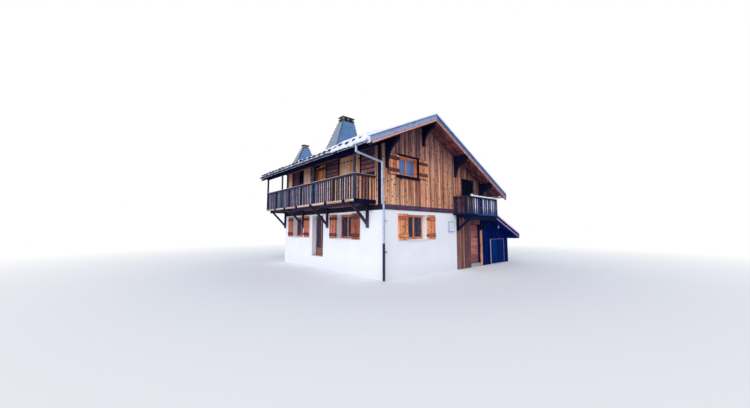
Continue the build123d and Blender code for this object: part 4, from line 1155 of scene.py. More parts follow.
low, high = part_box("left_loose_shutter")
wood, iron, battens = [Solids(on_left, seed) for seed in (66, 67, 68)]
shutter(wood, battens, iron, low.y - HOME.y, high.y - HOME.y, low.z, high.z,
        LIFT_ON_STONE, 1)
finish("left_loose_shutter_planks", wood, RED_PINE, slot="honey_pine",
       replaces=("left_loose_shutter",))
finish("left_loose_shutter_battens", battens, BATTEN, slot="honey_pine")
finish("left_loose_shutter_iron", iron, IRON)
print("windows placed")

# %% [markdown]
# The doors of the upper storey don't open here. Behind the long balcony stand a wide pine
# plank door with a row of dark slots, and a glazed door between two pale board leaves that
# are folded back. The gable balcony has a dark door of narrow boards. The CAD leaves could
# just be painted, but planks with real joints show even in the shade of the eave.

# %% Upper doors
plank = Solids(on_left, 71)
u0, u1, z0, z1 = PLANK_DOOR
plank.row(u0, u1, 12, 0.002, -0.06, -0.03, z0, z1)
plank.box(u0, u1, -0.11, -0.06, z0, z1)
finish("plank_door_boards", plank, PLANK_PINE, slot="honey_pine", replaces=("plank_door",))

u0, u1, z0, z1 = GABLE_DOOR
leaf = Solids(on_front, 73)
leaf.row(u0, u1, 10, 0.003, -0.10, -0.06, z0, z1)
leaf.box(u0, u1, -0.12, -0.10, z0, z1)
finish("gable_door_leaf", leaf, DARK, slot="dark_timber", replaces=("gable_door",))

u0, u1, z0, z1 = BALCONY_DOOR
split, stile = u0 + 0.5, 0.09
a, b, middle = u0 + stile, split - stile, z0 + 0.34 * (z1 - z0)
boxes("balcony_door_glass", on_left, 76, GLASS,
      (a, b, -0.09, -0.084, middle + 0.09, z1 - stile))
boxes("balcony_door_leaf", on_left, 75, DARK,
      (u0, a, -0.11, -0.06, z0, z1), (b, split, -0.11, -0.06, z0, z1),
      (a, b, -0.11, -0.06, z0, z0 + 0.16), (a, b, -0.11, -0.06, middle, middle + 0.09),
      (a, b, -0.11, -0.06, z1 - stile, z1), (a, b, -0.10, -0.08, z0 + 0.16, middle),
      slot="dark_timber", replaces=("balcony_door",))
# The closed leaf: dark red paint that looks maroon beside the black frame.
DARK_RED = timber("dark_red_door_frame", "#8c4a60 #62324c #351c34", rough=0.6, gloss=0.2)
maroon = Solids(on_left, 77)
maroon.row(split, u1, 5, 0.002, -0.07, -0.02, z0, z1)
maroon.box(split, u1, -0.11, -0.07, z0, z1)
finish("balcony_door_closed_leaf", maroon, DARK_RED, slot="dark_timber")

leaves = Solids(on_left, 78)
leaf_board, leaf_joint, batten_inset = 0.125, 0.004, 0.03
for start, outward, count in ((u0 - 0.13, -1, 6), (u1 + 0.045, 1, 4)):
    for i in range(count):
        a = start + outward * i * leaf_board
        b = a + outward * (leaf_board - leaf_joint)
        leaves.box(min(a, b), max(a, b), 0.004, 0.03, z0 + 0.01, z1 - 0.01)
    a = start + outward * batten_inset
    b = start + outward * (leaf_board * count - batten_inset)
    for z in (z0 + 0.25, z1 - 0.4):
        leaves.box(min(a, b), max(a, b), 0.03, 0.05, z, z + 0.09)
finish("balcony_door_board_leaves", leaves, PALE_PINE, slot="honey_pine")
boxes("balcony_door_head_board", on_left, 79, RAFTER,
      (u0 - 0.8, u1 + 0.5, 0.0, 0.045, z1 + 0.01, z1 + 0.12), slot="honey_pine")
print("upper doors placed")

# %% [markdown]
# Three doors open, so their boards ride on their own bodies. Boards on the house would stay
# behind in the doorway when a leaf turns. The entrance door gets wide
# horizontal planks, the terrace door is glazed in a brown stained frame, and the lean-to's
# low and wide door gets upright boards.

# %% Opening doors
ENTRANCE_PLANKS, LEAF_EDGE = 11, 0.015
u0, u1, z0, z1 = ENTRANCE
step = (z1 - z0 - 2 * LEAF_EDGE) / ENTRANCE_PLANKS
starts = [z0 + LEAF_EDGE + i * step for i in range(ENTRANCE_PLANKS)]
boxes("entrance_door_planks", on_front, 81, RED_PLANKS,
      *[(u0 + 0.017, u1 - 0.017, -0.1505, -0.138, z + 0.003, z + step - 0.003)
        for z in starts], body="entrance_leaf", slot="red_planks")
boxes("entrance_handle", on_front, 82, BRIGHT,
      (u0 + 0.083, u0 + 0.207, -0.112, -0.096, z0 + 1.008, z0 + 1.042),
      (u0 + 0.08, u0 + 0.11, -0.14, -0.096, z0 + 1.008, z0 + 1.042),
      (u0 + 0.07, u0 + 0.12, -0.139, -0.133, z0 + 0.93, z0 + 1.13),
      body="entrance_leaf", bevel=0.003)

u0, u1, z0, z1 = TERRACE
# The terrace door: brown stain over pine, half covering its grain.
BROWN = timber("brown_stained_door", "#a0623c #7d4a30 #4d2f24", rough=0.5)
wood, glass = Solids(on_left, 83), Solids(on_left, 84)
a, b, c, d = u0 + LEAF_EDGE, u1 - LEAF_EDGE, z0 + LEAF_EDGE, z1 - LEAF_EDGE
stile, panel, middle = 0.09, 0.35, (a + b) / 2
inner, outer = a + stile, b - stile
mullion_left, mullion_right = middle - stile / 2, middle + stile / 2
for e, f, g, h in ((a, inner, c, d), (outer, b, c, d), (inner, outer, c, c + panel),
                   (inner, outer, d - stile, d),
                   (mullion_left, mullion_right, c + panel, d - stile)):
    wood.box(e, f, -0.3, -0.25, g, h)
for e, f in ((inner, mullion_left), (mullion_right, outer)):
    glass.box(e, f, -0.278, -0.272, c + panel, d - stile)
for z in (z0 + 0.2, z1 - 0.28):
    wood.box(a, a + 0.28, -0.305, -0.3, z, z + 0.08)
    wood.box(u0 + 0.007, u0 + 0.033, -0.327, -0.301, z, z + 0.08)
wood.box(b - 0.19, b - 0.07, -0.25, -0.2, z0 + 1.015, z0 + 1.04)
finish("terrace_door_leaf", wood, BROWN, "terrace_leaf", "brown_paint", ("terrace_door",))
finish("terrace_door_glass", glass, GLASS, "terrace_leaf")

u0, u1, z0, z1 = SHED_DOOR
planks = Solids(on_front, 85)
planks.row(u0 + LEAF_EDGE, u1 - LEAF_EDGE, 12, 0.003, -0.0005, 0.012, 0.03, z1 - 0.016)
finish("shed_door_boards", planks, BLUE_BOARDS, "shed_leaf", "shed_boards")
print("opening doors dressed")

# %% [markdown]
# Rafters, soffit boards, brackets and slots repeat at a fixed step, so Geometry Nodes make
# them. The tree below puts one bar on each point of its input mesh, turns it, and gives it a
# board number. The inputs have names, and the result is realised and kept as a plain mesh,
# because the export drops live instances.

# %% Tree that repeats a bar on points
def new_tree(name, sockets):
    """Empty Geometry Nodes tree with a seed and a material among its named inputs."""
    made = bpy.data.node_groups.new(name, "GeometryNodeTree")
    made.interface.new_socket("Geometry", in_out="INPUT", socket_type="NodeSocketGeometry")
    for socket, kind in (*sockets, ("Seed", "Int"), ("Material", "Material")):
        made.interface.new_socket(socket, in_out="INPUT", socket_type="NodeSocket" + kind)
    made.interface.new_socket("Geometry", in_out="OUTPUT", socket_type="NodeSocketGeometry")
    return made, add(made, "NodeGroupInput").outputs, add(made, "NodeGroupOutput")


def put_on_points(tree, given, out, instance, rotation):
    """Numbers the points, puts the instance on each, makes it real and sets its material."""
    number = add(tree, "FunctionNodeRandomValue", {"Seed": given["Seed"]}, data_type="FLOAT")
    numbered = add(tree, "GeometryNodeStoreNamedAttribute", {
        "Geometry": given["Geometry"], "Name": "board", "Value": number.outputs[1]},
        data_type="FLOAT", domain="POINT")
    instances = add(tree, "GeometryNodeInstanceOnPoints", {
        "Points": numbered.outputs[0], "Instance": instance, "Rotation": rotation})
    real = add(tree, "GeometryNodeRealizeInstances", {0: instances.outputs[0]})
    painted = add(tree, "GeometryNodeSetMaterial", {
        "Geometry": real.outputs[0], "Material": given["Material"]})
    tree.links.new(painted.outputs[0], out.inputs[0])


bars_tree, given, out = new_tree("bars_on_points", (("Size", "Vector"), ("Turn", "Vector")))
bar = add(bars_tree, "GeometryNodeMeshCube", {"Size": given["Size"]})
turn = add(bars_tree, "FunctionNodeEulerToRotation", {0: given["Turn"]})
put_on_points(bars_tree, given, out, bar.outputs[0], turn.outputs[0])


def grown(name, tree, points, inputs, body="house", slot=None, replaces=()):
    """Runs a tree on points given in the house frame, and keeps the result as a mesh."""
    seed_mesh = bpy.data.meshes.new(name + "_points")
    seed_mesh.from_pydata([tuple(HOME + Vector(p)) for p in points], [], [])
    holder = bpy.data.objects.new(name + "_points", seed_mesh)
    bpy.context.scene.collection.objects.link(holder)
    modifier = holder.modifiers.new("tree", "NODES")
    modifier.node_group = tree
    for item in tree.interface.items_tree:
        if item.in_out == "INPUT" and item.name in inputs:
            modifier[item.identifier] = inputs[item.name]
    graph = bpy.context.evaluated_depsgraph_get()
    mesh = bpy.data.meshes.new_from_object(holder.evaluated_get(graph))
    bpy.data.objects.remove(holder)
    mesh.name = name
    return dress(name, mesh, inputs["Material"], body, replaces)


def bars(name, points, size, material, turn=(0.0, 0.0, 0.0), seed=1, **where):
    inputs = {"Size": size, "Turn": turn, "Seed": seed, "Material": material}
    return grown(name, bars_tree, points, inputs, **where)


print("bar tree has", len(bars_tree.nodes), "nodes")

# %% [markdown]
# The roof is carpentry: rafters lie on the purlins, boards lie on the rafters, and the deck
# with its tiles lies on the boards. In the CAD each slope is one slab of the whole depth.
# Here a thinner deck replaces it, and real rafters and soffit boards fill the rest, because
# the overhangs are seen from below.

# %% Roof deck, soffit boards and rafters
TILT = math.atan(SLOPE)
UPRIGHT = 1 / math.cos(TILT)
SIDES = ((-1, EAVE_LEFT, "left"), (1, EAVE_RIGHT, "right"))
DECK_DEPTH, BOARD_DEPTH, BOARD_PITCH = 0.055, 0.022, 0.142
RAFTER_WIDTH, RAFTER_PITCH, RAFTER_SHORT = 0.10, 0.63, 0.16
RAFTER_DEPTH = (ROOF_THICK - DECK_DEPTH - BOARD_DEPTH) / UPRIGHT
RAFTERS_Y = [-0.30, 0.07] + [0.07 + RAFTER_PITCH * i for i in range(1, 14)] + [8.92]
OUTER_RAFTERS_Y = [-0.665, 9.275]


def slope_point(side, along, y, down):
    """Point on a slope: along it from the ridge, y back, and straight down from its top."""
    x = RIDGE_X + side * along * math.cos(TILT)
    return (x, y, roof_top(x) - down)


for side, eave, name in SIDES:
    run = abs(eave - RIDGE_X) * UPRIGHT
    # The left slope's underside takes the navy-black copies, which are painted shade.
    boards_finish, rafters_finish, outer_finish = (
        (DARK_SOFFIT, DARK_RAFTER, DARK_RAFTER) if side < 0 else (SOFFIT, RED_RAFTER, RAFTER))
    deck = Solids(seed=91)
    deck.across([(RIDGE_X, RIDGE_Z), (eave, roof_top(eave)),
                 (eave, roof_top(eave) - DECK_DEPTH), (RIDGE_X, RIDGE_Z - DECK_DEPTH)],
                ROOF_FRONT, ROOF_BACK)
    finish(f"roof_deck_{name}", deck, boards_finish, slot="roof_tiles",
           replaces=(f"roof_{name}",))

    middle_y = (ROOF_FRONT + ROOF_BACK) / 2
    points = [slope_point(side, (i + 0.5) * BOARD_PITCH, middle_y, DECK_DEPTH + BOARD_DEPTH / 2)
              for i in range(int(run / BOARD_PITCH))]
    bars(f"soffit_boards_{name}", points,
         (BOARD_PITCH - 0.006, ROOF_BACK - ROOF_FRONT, BOARD_DEPTH), boards_finish,
         turn=(0.0, side * TILT, 0.0), seed=92)

    down = DECK_DEPTH + BOARD_DEPTH + RAFTER_DEPTH * UPRIGHT / 2
    for kind, rows, wood in (("rafters", RAFTERS_Y, rafters_finish),
                             ("outer_rafters", OUTER_RAFTERS_Y, outer_finish)):
        points = [slope_point(side, run / 2 - 0.02, y, down) for y in rows]
        bars(f"{kind}_{name}", points, (run - RAFTER_SHORT, RAFTER_WIDTH, RAFTER_DEPTH), wood,
             turn=(0.0, side * TILT, 0.0), seed=93)
print("rafters are", round(RAFTER_DEPTH * 1000), "mm deep")

# %% [markdown]
# Three small things close the roof's edges. Blocks fill the gap between the side walls and
# the deck, a thin strip runs along the foot of each verge board, and pale moulded caps close
# the verge at its four low ends. Left out, they would be missed only as gaps of light, which
# is just what the eye finds first against a pale sky.

# %% Edges of the roof
STRIP_THICK, CAP_DOWN, CAP_UP, CAP_OUT = 0.014, 0.2, 0.02, 0.06
blocking = Solids(seed=94)
for x0, x1 in ((0.02, 0.14), (WIDTH - 0.14, WIDTH - 0.02)):
    blocking.across([(x0, roof_under(x0)), (x1, roof_under(x1)),
                     (x1, roof_top(x1) - DECK_DEPTH - BOARD_DEPTH),
                     (x0, roof_top(x0) - DECK_DEPTH - BOARD_DEPTH)], 0.0, LENGTH)
finish("wall_plate_blocking", blocking, DARK, slot="dark_timber")

left_strip, right_strip = Solids(seed=95), Solids(seed=96)
for face, out in ((ROOF_FRONT - 0.05, -1), (ROOF_BACK + 0.05, 1)):
    for strip, eave, high, low in ((left_strip, EAVE_LEFT + 0.1, 0.195, 0.245),
                                   (right_strip, EAVE_RIGHT, 0.205, 0.288)):
        strip.across([(eave, roof_top(eave) - high), (RIDGE_X, RIDGE_Z - high),
                      (RIDGE_X, RIDGE_Z - low), (eave, roof_top(eave) - low)],
                     face, face + out * STRIP_THICK)
finish("verge_foot_strip_left", left_strip, PALE_PINE, slot="honey_pine")
finish("verge_foot_strip_right", right_strip, RAFTER, slot="honey_pine")

ends = [(eave + x0, eave + x1, y0, y1, roof_top(eave) - CAP_DOWN, roof_top(eave) + CAP_UP)
        for eave, x0, x1 in ((EAVE_LEFT, -0.02, 0.0), (EAVE_RIGHT, 0.0, 0.02))
        for y0, y1 in ((ROOF_FRONT - CAP_OUT, ROOF_FRONT + 0.1),
                       (ROOF_BACK - 0.1, ROOF_BACK + CAP_OUT))]
boxes("verge_end_caps", plain, 97, PLASTIC, *ends, slot="verge_sheet")
print(len(ends), "ends of the verges capped")

# %% [markdown]
# Clay tiles with a side roll cover the deck. Snow lies on most of them, but tile noses poke
# through it along the eaves, so real tiles are laid on the whole of both slopes. One tile is
# a thin slab joined with its roll, instanced on a grid of points and tipped a little, because
# each nose rests on the tile below.

# %% Tiles
tiles_tree, given, out = new_tree("tiles_on_points", (
    ("Tile", "Vector"), ("Roll", "Float"), ("Turn", "Vector"), ("Loose", "Float")))
slab = add(tiles_tree, "GeometryNodeMeshCube", {"Size": given["Tile"]})
size = add(tiles_tree, "ShaderNodeSeparateXYZ", {0: given["Tile"]}).outputs
roll = add(tiles_tree, "GeometryNodeMeshCylinder", {
    "Vertices": 8, "Radius": given["Roll"], "Depth": size["X"]}, fill_type="NGON")
shift = add(tiles_tree, "ShaderNodeCombineXYZ", {
    "Y": calc(tiles_tree, "MULTIPLY", size["Y"], 0.42)})
rolled = add(tiles_tree, "GeometryNodeTransform", {
    "Geometry": roll.outputs["Mesh"], "Translation": shift.outputs[0],
    "Rotation": (0.0, math.pi / 2, 0.0)})
tile = add(tiles_tree, "GeometryNodeJoinGeometry", {0: slab.outputs[0]})
tiles_tree.links.new(rolled.outputs[0], tile.inputs[0])
most = add(tiles_tree, "ShaderNodeVectorMath", {
    0: (1.0, 1.0, 1.0), "Scale": given["Loose"]}, operation="SCALE")
least = add(tiles_tree, "ShaderNodeVectorMath", {
    0: most.outputs[0], 1: (-1.0, -1.0, -1.0)}, operation="MULTIPLY")
loose = add(tiles_tree, "FunctionNodeRandomValue", {
    0: least.outputs[0], 1: most.outputs[0], "Seed": given["Seed"]}, data_type="FLOAT_VECTOR")
turned = add(tiles_tree, "ShaderNodeVectorMath", {
    0: given["Turn"], 1: loose.outputs[0]}, operation="ADD")
turn = add(tiles_tree, "FunctionNodeEulerToRotation", {0: turned.outputs[0]})
put_on_points(tiles_tree, given, out, tile.outputs[0], turn.outputs[0])
print("tile tree has", len(tiles_tree.nodes), "nodes")

# %% [markdown]
# The courses run down to the eave at the tiler's gauge, and whole tiles fill each course from
# front to back. An array could lay them too, but points allow every tile its own small tilt,
# so that the rows look laid by hand.

# %% Tiles laid on both slopes
GAUGE, TILE_WIDTH, ROLL, TILE_LIFT = 0.335, 0.42, 0.034, 0.045
TILE_TIP, TILE_LOOSE, TILE_THICK = 0.065, 0.008, 0.016
tile_count = round((ROOF_BACK - ROOF_FRONT) / TILE_WIDTH)
tile_step = (ROOF_BACK - ROOF_FRONT) / tile_count
for side, eave, name in SIDES:
    run = abs(eave - RIDGE_X) * UPRIGHT
    courses = int(run / GAUGE)
    points = [slope_point(side, run - (i + 0.5) * GAUGE + 0.01,
                          ROOF_FRONT + (j + 0.5) * tile_step, -TILE_LIFT)
              for i in range(courses) for j in range(tile_count)]
    grown(f"roof_tiles_{name}", tiles_tree, points, {
        "Tile": (GAUGE + 0.03, tile_step - 0.006, TILE_THICK), "Roll": ROLL,
        "Turn": (0.0, side * (TILT - TILE_TIP), 0.0), "Loose": TILE_LOOSE, "Seed": 3,
        "Material": TILE}, slot="roof_tiles")
    print(name, "slope has", courses, "courses of", tile_count, "tiles")

# %% [markdown]
# The snow is a soft sheet over the tiles. Its thickness is a small sum: a settled depth, slow
# waves, fine lumps, and thin places over the tile noses near the eaves, where the tiles warm
# first. Its edge wanders in and out. A grid of points with a top and a bottom makes it closed.

# %% Sheet of snow
def snow_sheet(name, xs, ys, ground, depth, edge=0.02):
    """Closed snow on a surface: ground(x, y) is what it lies on, depth(x, y) how deep it is."""
    corners, faces = [], []
    nx, ny = len(xs), len(ys)
    for level in (0, 1):
        for y in ys:
            for i, x in enumerate(xs):
                wander = edge * noise.noise((y * 3.1, i, 1.7)) * 2 if i in (0, nx - 1) else 0.0
                z = ground(x, y) + (depth(x, y) if level else 0.0)
                corners.append(tuple(HOME + Vector((x + wander, y, z))))
    top = nx * ny
    for j in range(ny - 1):
        for i in range(nx - 1):
            a = j * nx + i
            faces.append((a, a + nx, a + nx + 1, a + 1))
            faces.append((top + a, top + a + 1, top + a + nx + 1, top + a + nx))
    rim = [(i, 0) for i in range(nx - 1)] + [(nx - 1, j) for j in range(ny - 1)]
    rim += [(i, ny - 1) for i in range(nx - 1, 0, -1)] + [(0, j) for j in range(ny - 1, 0, -1)]
    for (i, j), (k, m) in zip(rim, rim[1:] + rim[:1]):
        a, b = j * nx + i, m * nx + k
        faces.append((a, b, top + b, top + a))
    mesh = bpy.data.meshes.new(name)
    mesh.from_pydata(corners, [], faces)
    mesh.polygons.foreach_set("use_smooth", [True] * len(faces))
    return dress(name, mesh, SNOW)


def steps(low, high, size):
    """Numbers from low to high about one size apart."""
    count = max(2, round((high - low) / size))
    return [low + (high - low) * i / count for i in range(count + 1)]


def smooth(value, low, high):
    """Rises from 0 at low to 1 at high."""
    part = max(0.0, min(1.0, (value - low) / (high - low)))
    return part * part * (3 - 2 * part)


print("snow sheet ready")

# %% [markdown]
# On the main roof the snow is deepest in a bank along the eaves at the front, thin over the
# tile noses, and low on the verges. It could be sculpted by hand, but a sum of waves can be
# changed in one place and ends exactly at the edges of the roof.

# %% Snow on the main roof
SETTLED, BANK_FRONT, BANK_REAR, LEAST_SNOW = 0.085, 0.205, 0.07, 0.012
VERGE_SNOW, EAVE_BAND = 0.052, 0.75


def roof_snow_depth(x, y):
    along = min(x - EAVE_LEFT, EAVE_RIGHT - x) * UPRIGHT
    verge = min(y - (ROOF_FRONT - 0.06), (ROOF_BACK + 0.06) - y)
    waves = noise.noise((x * 0.9, y * 0.9, 4.0)) * 0.02
    lumps = noise.noise((x * 7.0, y * 7.0, 9.0)) * 0.014
    bank = BANK_FRONT + (BANK_REAR - BANK_FRONT) * smooth(y, 0.6, 3.4)
    depth = SETTLED + waves + lumps + (bank - SETTLED) * (1 - smooth(along, 0.25, 1.2))
    if along < 0.5 and y > 0.8:
        across = ((y - ROOF_FRONT) / tile_step) % 1.0
        near_roll = max(0.0, 1 - abs(across - 0.92) / 0.3)
        depth -= 0.05 * near_roll * smooth(noise.noise((1.0, y * 1.7, 2.0)), -0.25, 0.15)
    if verge < 0.22:
        part = smooth(verge, 0.1, 0.22)
        depth = depth * part + (VERGE_SNOW + lumps * 0.5) * (1 - part)
    return max(LEAST_SNOW, depth)


def roof_ground(x, y):
    on_verge = y < ROOF_FRONT + 0.01 or y > ROOF_BACK - 0.01
    return roof_top(x) + (0.046 if on_verge else 0.004)


band_left, band_right = EAVE_LEFT + EAVE_BAND, EAVE_RIGHT - EAVE_BAND
xs = steps(EAVE_LEFT + 0.015, band_left, 0.035) + steps(band_left, RIDGE_X, 0.12)[1:]
xs += steps(RIDGE_X, band_right, 0.12)[1:] + steps(band_right, EAVE_RIGHT - 0.015, 0.04)[1:]
ys = [ROOF_FRONT - 0.075, ROOF_FRONT - 0.055] + steps(ROOF_FRONT - 0.03, ROOF_BACK + 0.03, 0.045)
ys += [ROOF_BACK + 0.055, ROOF_BACK + 0.075]
snow = snow_sheet("roof_snow", xs, ys, roof_ground, roof_snow_depth)
print("roof snow has", len(snow.data.polygons), "faces")

# %% [markdown]
# Along the eaves the snow slid over the last tiles and froze on the gutter in lumps, highest
# at the front of the left side. Round ends of tile rolls poke out of it, about one to each
# tile. The tiles below could reach through, but the snow hides where they end, so the ends
# are short prisms of their own, a little uneven in place and size.

# %% Snow and tile ends over the gutters
def eave_bank(name, side, eave, y0, y1, reach, crest, foot, rough, hang=0.0):
    """Bank from y0 to y1: crest is its height at both ends, hang how far it droops."""
    rim, inner, outer = roof_top(eave) - 0.12, eave - side * 0.07, eave + side * reach

    def depth(x, y):
        part = abs(x - outer) / abs(outer - inner)
        lump = noise.noise((y * 3.3, side * 2.0, 8.0)) + noise.noise((y * 8.0, x * 5, 1.0))
        end = crest[0] + (crest[1] - crest[0]) * (y - y0) / (y1 - y0)
        low = (foot + 0.10 * noise.noise((y * 2.6, 5.0, side))) * smooth(y1 - y, -0.05, 0.5)
        return max(0.02, low + (end - low) * part ** 0.7 + rough * lump * part)

    def under(x, y):
        over = max(0.0, 1 - abs(x - outer) / 0.05) * smooth(y1 - y, 0.0, 0.5)
        return rim - hang * over * max(0.0, 0.4 + 1.2 * noise.noise((y * 4.0, 3.0, side)))

    xs = steps(min(inner, outer), max(inner, outer), 0.03)
    snow_sheet(name, xs, steps(y0, y1, 0.04), under, depth, edge=0.004)


def tile_noses(name, side, eave, seed, sunk):
    """Ends of the tile rolls that poke out of the snow above the gutter."""
    ends, chance = Solids(seed=seed), random.Random(seed)
    for j in range(tile_count):
        y = ROOF_FRONT + (j + 0.92) * tile_step + chance.uniform(-0.04, 0.04)
        if y > ROOF_BACK - 0.1 or chance.random() < 0.08:
            continue
        back = smooth(y, 1.0, 1.7)
        lift = 0.092 - sunk * back + chance.uniform(-0.02, 0.02)
        radius, z = chance.uniform(0.028, 0.046), roof_top(eave) + lift
        far, near = eave + side * (0.132 - 0.05 * back), eave + side * 0.02
        ring = [(math.cos(k * math.pi / 5) * radius, math.sin(k * math.pi / 5) * radius)
                for k in range(10)]
        ends.prism([(far, y + a, z - 0.05 + b) for a, b in ring],
                   [(near, y + a, z + 0.01 + b) for a, b in ring])
    finish(name, ends, TILE, slot="roof_tiles")
    print(name, "has", len(ends.boards) // 20, "ends")


front_end, back_end = ROOF_FRONT + 0.02, ROOF_BACK - 0.02
eave_bank("gutter_snow_left", -1, EAVE_LEFT, front_end, 1.6, 0.145, (0.32, 0.24), 0.07, 0.07, 0.07)
eave_bank("gutter_snow_left_rear", -1, EAVE_LEFT, 1.3, back_end, 0.035, (0.25, 0.21), 0.03, 0.14)
eave_bank("gutter_snow_right", 1, EAVE_RIGHT, front_end, back_end, 0.08, (0.2, 0.2), 0.06, 0.08)
tile_noses("tile_noses_left", -1, EAVE_LEFT, 98, 0.03)
tile_noses("tile_noses_right", 1, EAVE_RIGHT, 99, 0.05)

# %% [markdown]
# Two clad chimneys stand on the left slope. Their sheet is laid in short lapped courses, and
# each course stands out a little at its foot. A bump could draw the laps, but it can't give
# the stepped edge that shows against the sky, so each course is a solid. Above the shaft,
# flat caps lie on pale bricks with air between them.

# %% Chimneys
FLARE, BRICK_SIZE, LAP_HALF = 0.012, 0.09, 0.03


def clad_chimney(name, xs, ys, top, lean, course, caps, seed):
    """Tapered shaft in lapped courses. lean is how far left, right, front and back run out."""
    shaft, cap, bricks, laps = [Solids(seed=seed + i) for i in range(4)]

    def ring(drop, out):
        return (xs[0] - lean[0] * drop - out, xs[1] + lean[1] * drop + out,
                ys[0] - lean[2] * drop - out, ys[1] + lean[3] * drop + out)

    def corners(sizes, level):
        x0, x1, y0, y1 = sizes
        return [(x, y, max(level, roof_top(x) - 0.06))
                for x, y in ((x0, y0), (x1, y0), (x1, y1), (x0, y1))]

    def above_roof(drop):
        return top - drop > roof_top(xs[0] - lean[0] * drop) - 0.02

    drop = 0.0
    while above_roof(drop):
        low = corners(ring(drop + course, FLARE), top - drop - course)
        high = corners(ring(drop, 0.0), top - drop)
        shaft.prism(low, [(x, y, max(z, low[i][2] + 0.002)) for i, (x, y, z) in enumerate(high)])
        drop += course
    drop = course
    while above_roof(drop):
        x0, x1, y0, y1 = ring(drop, 0.0)
        z = top - drop
        for x, y in ((x0, y0), (x0, y1), (x1, y0), (x1, y1)):
            if z > roof_top(x) + 0.03:
                laps.box(x - LAP_HALF, x + LAP_HALF, y - LAP_HALF, y + LAP_HALF, z, z + 0.05)
        drop += course
    z = top
    for kind, out, height in caps:
        if kind == "cap":
            cap.box(xs[0] - out, xs[1] + out, ys[0] - out, ys[1] + out, z, z + height)
        else:
            for x in (xs[0] + 0.02, (sum(xs) - BRICK_SIZE) / 2, xs[1] - BRICK_SIZE - 0.02):
                for y in (ys[0] + 0.02, ys[1] - BRICK_SIZE - 0.02):
                    bricks.box(x, x + BRICK_SIZE, y, y + BRICK_SIZE, z, z + height)
        z += height
    finish(f"{name}_lap_ends", laps, CAP, slot="chimney_sheet")
    finish(f"{name}_caps", cap, CAP, slot="chimney_sheet")
    finish(f"{name}_bricks", bricks, BRICK)
    return finish(f"{name}_cladding", shaft, CHIMNEY, slot="chimney_sheet", replaces=(name,))


clad_chimney("chimney_large", (1.475, 2.25), (5.0, 5.43), 8.15, (0.29, 0.29, 0.03, 0.41), 0.125,
             (("cap", 0.02, 0.04), ("bricks", 0, 0.05), ("cap", 0.025, 0.035),
              ("bricks", 0, 0.115), ("cap", 0.025, 0.05)), 101)
clad_chimney("chimney_small", (0.397, 0.740), (7.6, 7.86), 6.93, (0.45, 0.45, 0.10, 0.25), 0.11,
             (("cap", 0.02, 0.03), ("bricks", 0, 0.11), ("cap", 0.025, 0.06)), 105)
print("chimneys clad")

# %% [markdown]
# The lean-to is clad in near-black upright boards, like the gable but narrower and all of
# one width range. The same cladding function draws them, because it already stops at the
# door and follows the slope.

# %% Lean-to
NARROW_BOARDS = (0.1, 0.16)


def shed_under(x):
    return shed_top(x) - SHED_THICK - 0.003


def on_shed_side(u, w, z):
    return Vector((SHED_RIGHT + w, u, z))


def on_shed_back(u, w, z):
    return Vector((u, SHED_BACK + w, z))


def shed_boards(name, place, seed, top, *runs):
    """Boards on one wall of the lean-to, in runs from, to and above a height."""
    solids = Solids(place, seed)
    for u0, u1, z0 in runs:
        clad(solids, u0, u1, z0, top, widths=NARROW_BOARDS, thick=0.02)
    finish(name, solids, NAVY_BOARDS, slot="shed_boards")


u0, u1, z0, z1 = SHED_DOOR
shed_start = WIDTH + 0.03
shed_boards("lean_to_front_boards", on_front, 111, shed_under,
            (shed_start, u0 - 0.05, BOARD_FOOT), (u0 - 0.05, u1 + 0.05, z1 + 0.03),
            (u1 + 0.05, SHED_RIGHT, BOARD_FOOT))
shed_boards("lean_to_side_boards", on_shed_side, 112, lambda y: SHED_LOW - 0.003,
            (0.0, SHED_BACK, BOARD_FOOT))
shed_boards("lean_to_back_boards", on_shed_back, 113, shed_under,
            (shed_start, SHED_RIGHT, BOARD_FOOT))
print("lean-to boarded")

# %% [markdown]
# Thin strips frame the door, and the verge has three layers: a red edge on top, navy boards and
# a pale strip below. They could be bands of colour on one board, but each stands out a few
# millimetres more than the next, so its edge catches light.

# %% Strips and verge of the lean-to
STRIP_OUT, STRIP_WIDE = 0.038, 0.026
near = STRIP_OUT - STRIP_WIDE
boxes("lean_to_door_strip", on_front, 114, PALE_STRIP,
      (u0 - STRIP_OUT, u0 - near, 0.0, 0.03, 0.02, z1 + 0.02))
boxes("lean_to_door_mauve_strips", on_front, 119, MAUVE_STRIP,
      (u1 + near, u1 + STRIP_OUT, 0.0, 0.03, 0.02, z1 + 0.02),
      (u0 - STRIP_OUT, u1 + STRIP_OUT, 0.0, 0.026, z1 + 0.006, z1 + 0.026))

# Red paint left only on the top edge of the verge: one thin warm line over the navy.
CRIMSON = timber("crimson_verge_edge", "#b04454 #8c2c40 #5a1a2c", along="x")
for name, seed, wood, high, low, thick in (
        ("edge", 115, CRIMSON, 0.03, -0.04, 0.036),
        ("boards", 117, NAVY_BOARDS, -0.04, -0.150, 0.03),
        ("strips", 116, PALE_STRIP, -0.150, -0.185, 0.034)):
    solids = Solids(seed=seed)
    for y, x0, out in ((-SHED_VERGE, SHED_OVERHANG_X, -1), (SHED_BACK, shed_start, 1)):
        solids.across([(x0, shed_top(x0) + high), (SHED_EAVE, SHED_EAVE_TOP + high),
                       (SHED_EAVE, SHED_EAVE_TOP + low), (x0, shed_top(x0) + low)],
                      y, y + out * thick)
    finish("lean_to_verge_" + name, solids, wood)
print("lean-to verge made")

# %% [markdown]
# The snow on the lean-to is the same kind of sheet, thinner and more even, because the low roof
# was under less wind. The strip over the verge is a sheet of its own that lies a little higher.

# %% Snow on the lean-to
def shed_snow_depth(x, y):
    lumps = noise.noise((x * 5.0, y * 5.0, 3.0)) * 0.015 + noise.noise((x, y, 6.0)) * 0.02
    return max(0.035, 0.075 + lumps)


def shed_ground(x, y):
    return shed_top(x) + (0.032 if y < -SHED_VERGE + 0.02 else 0.002)


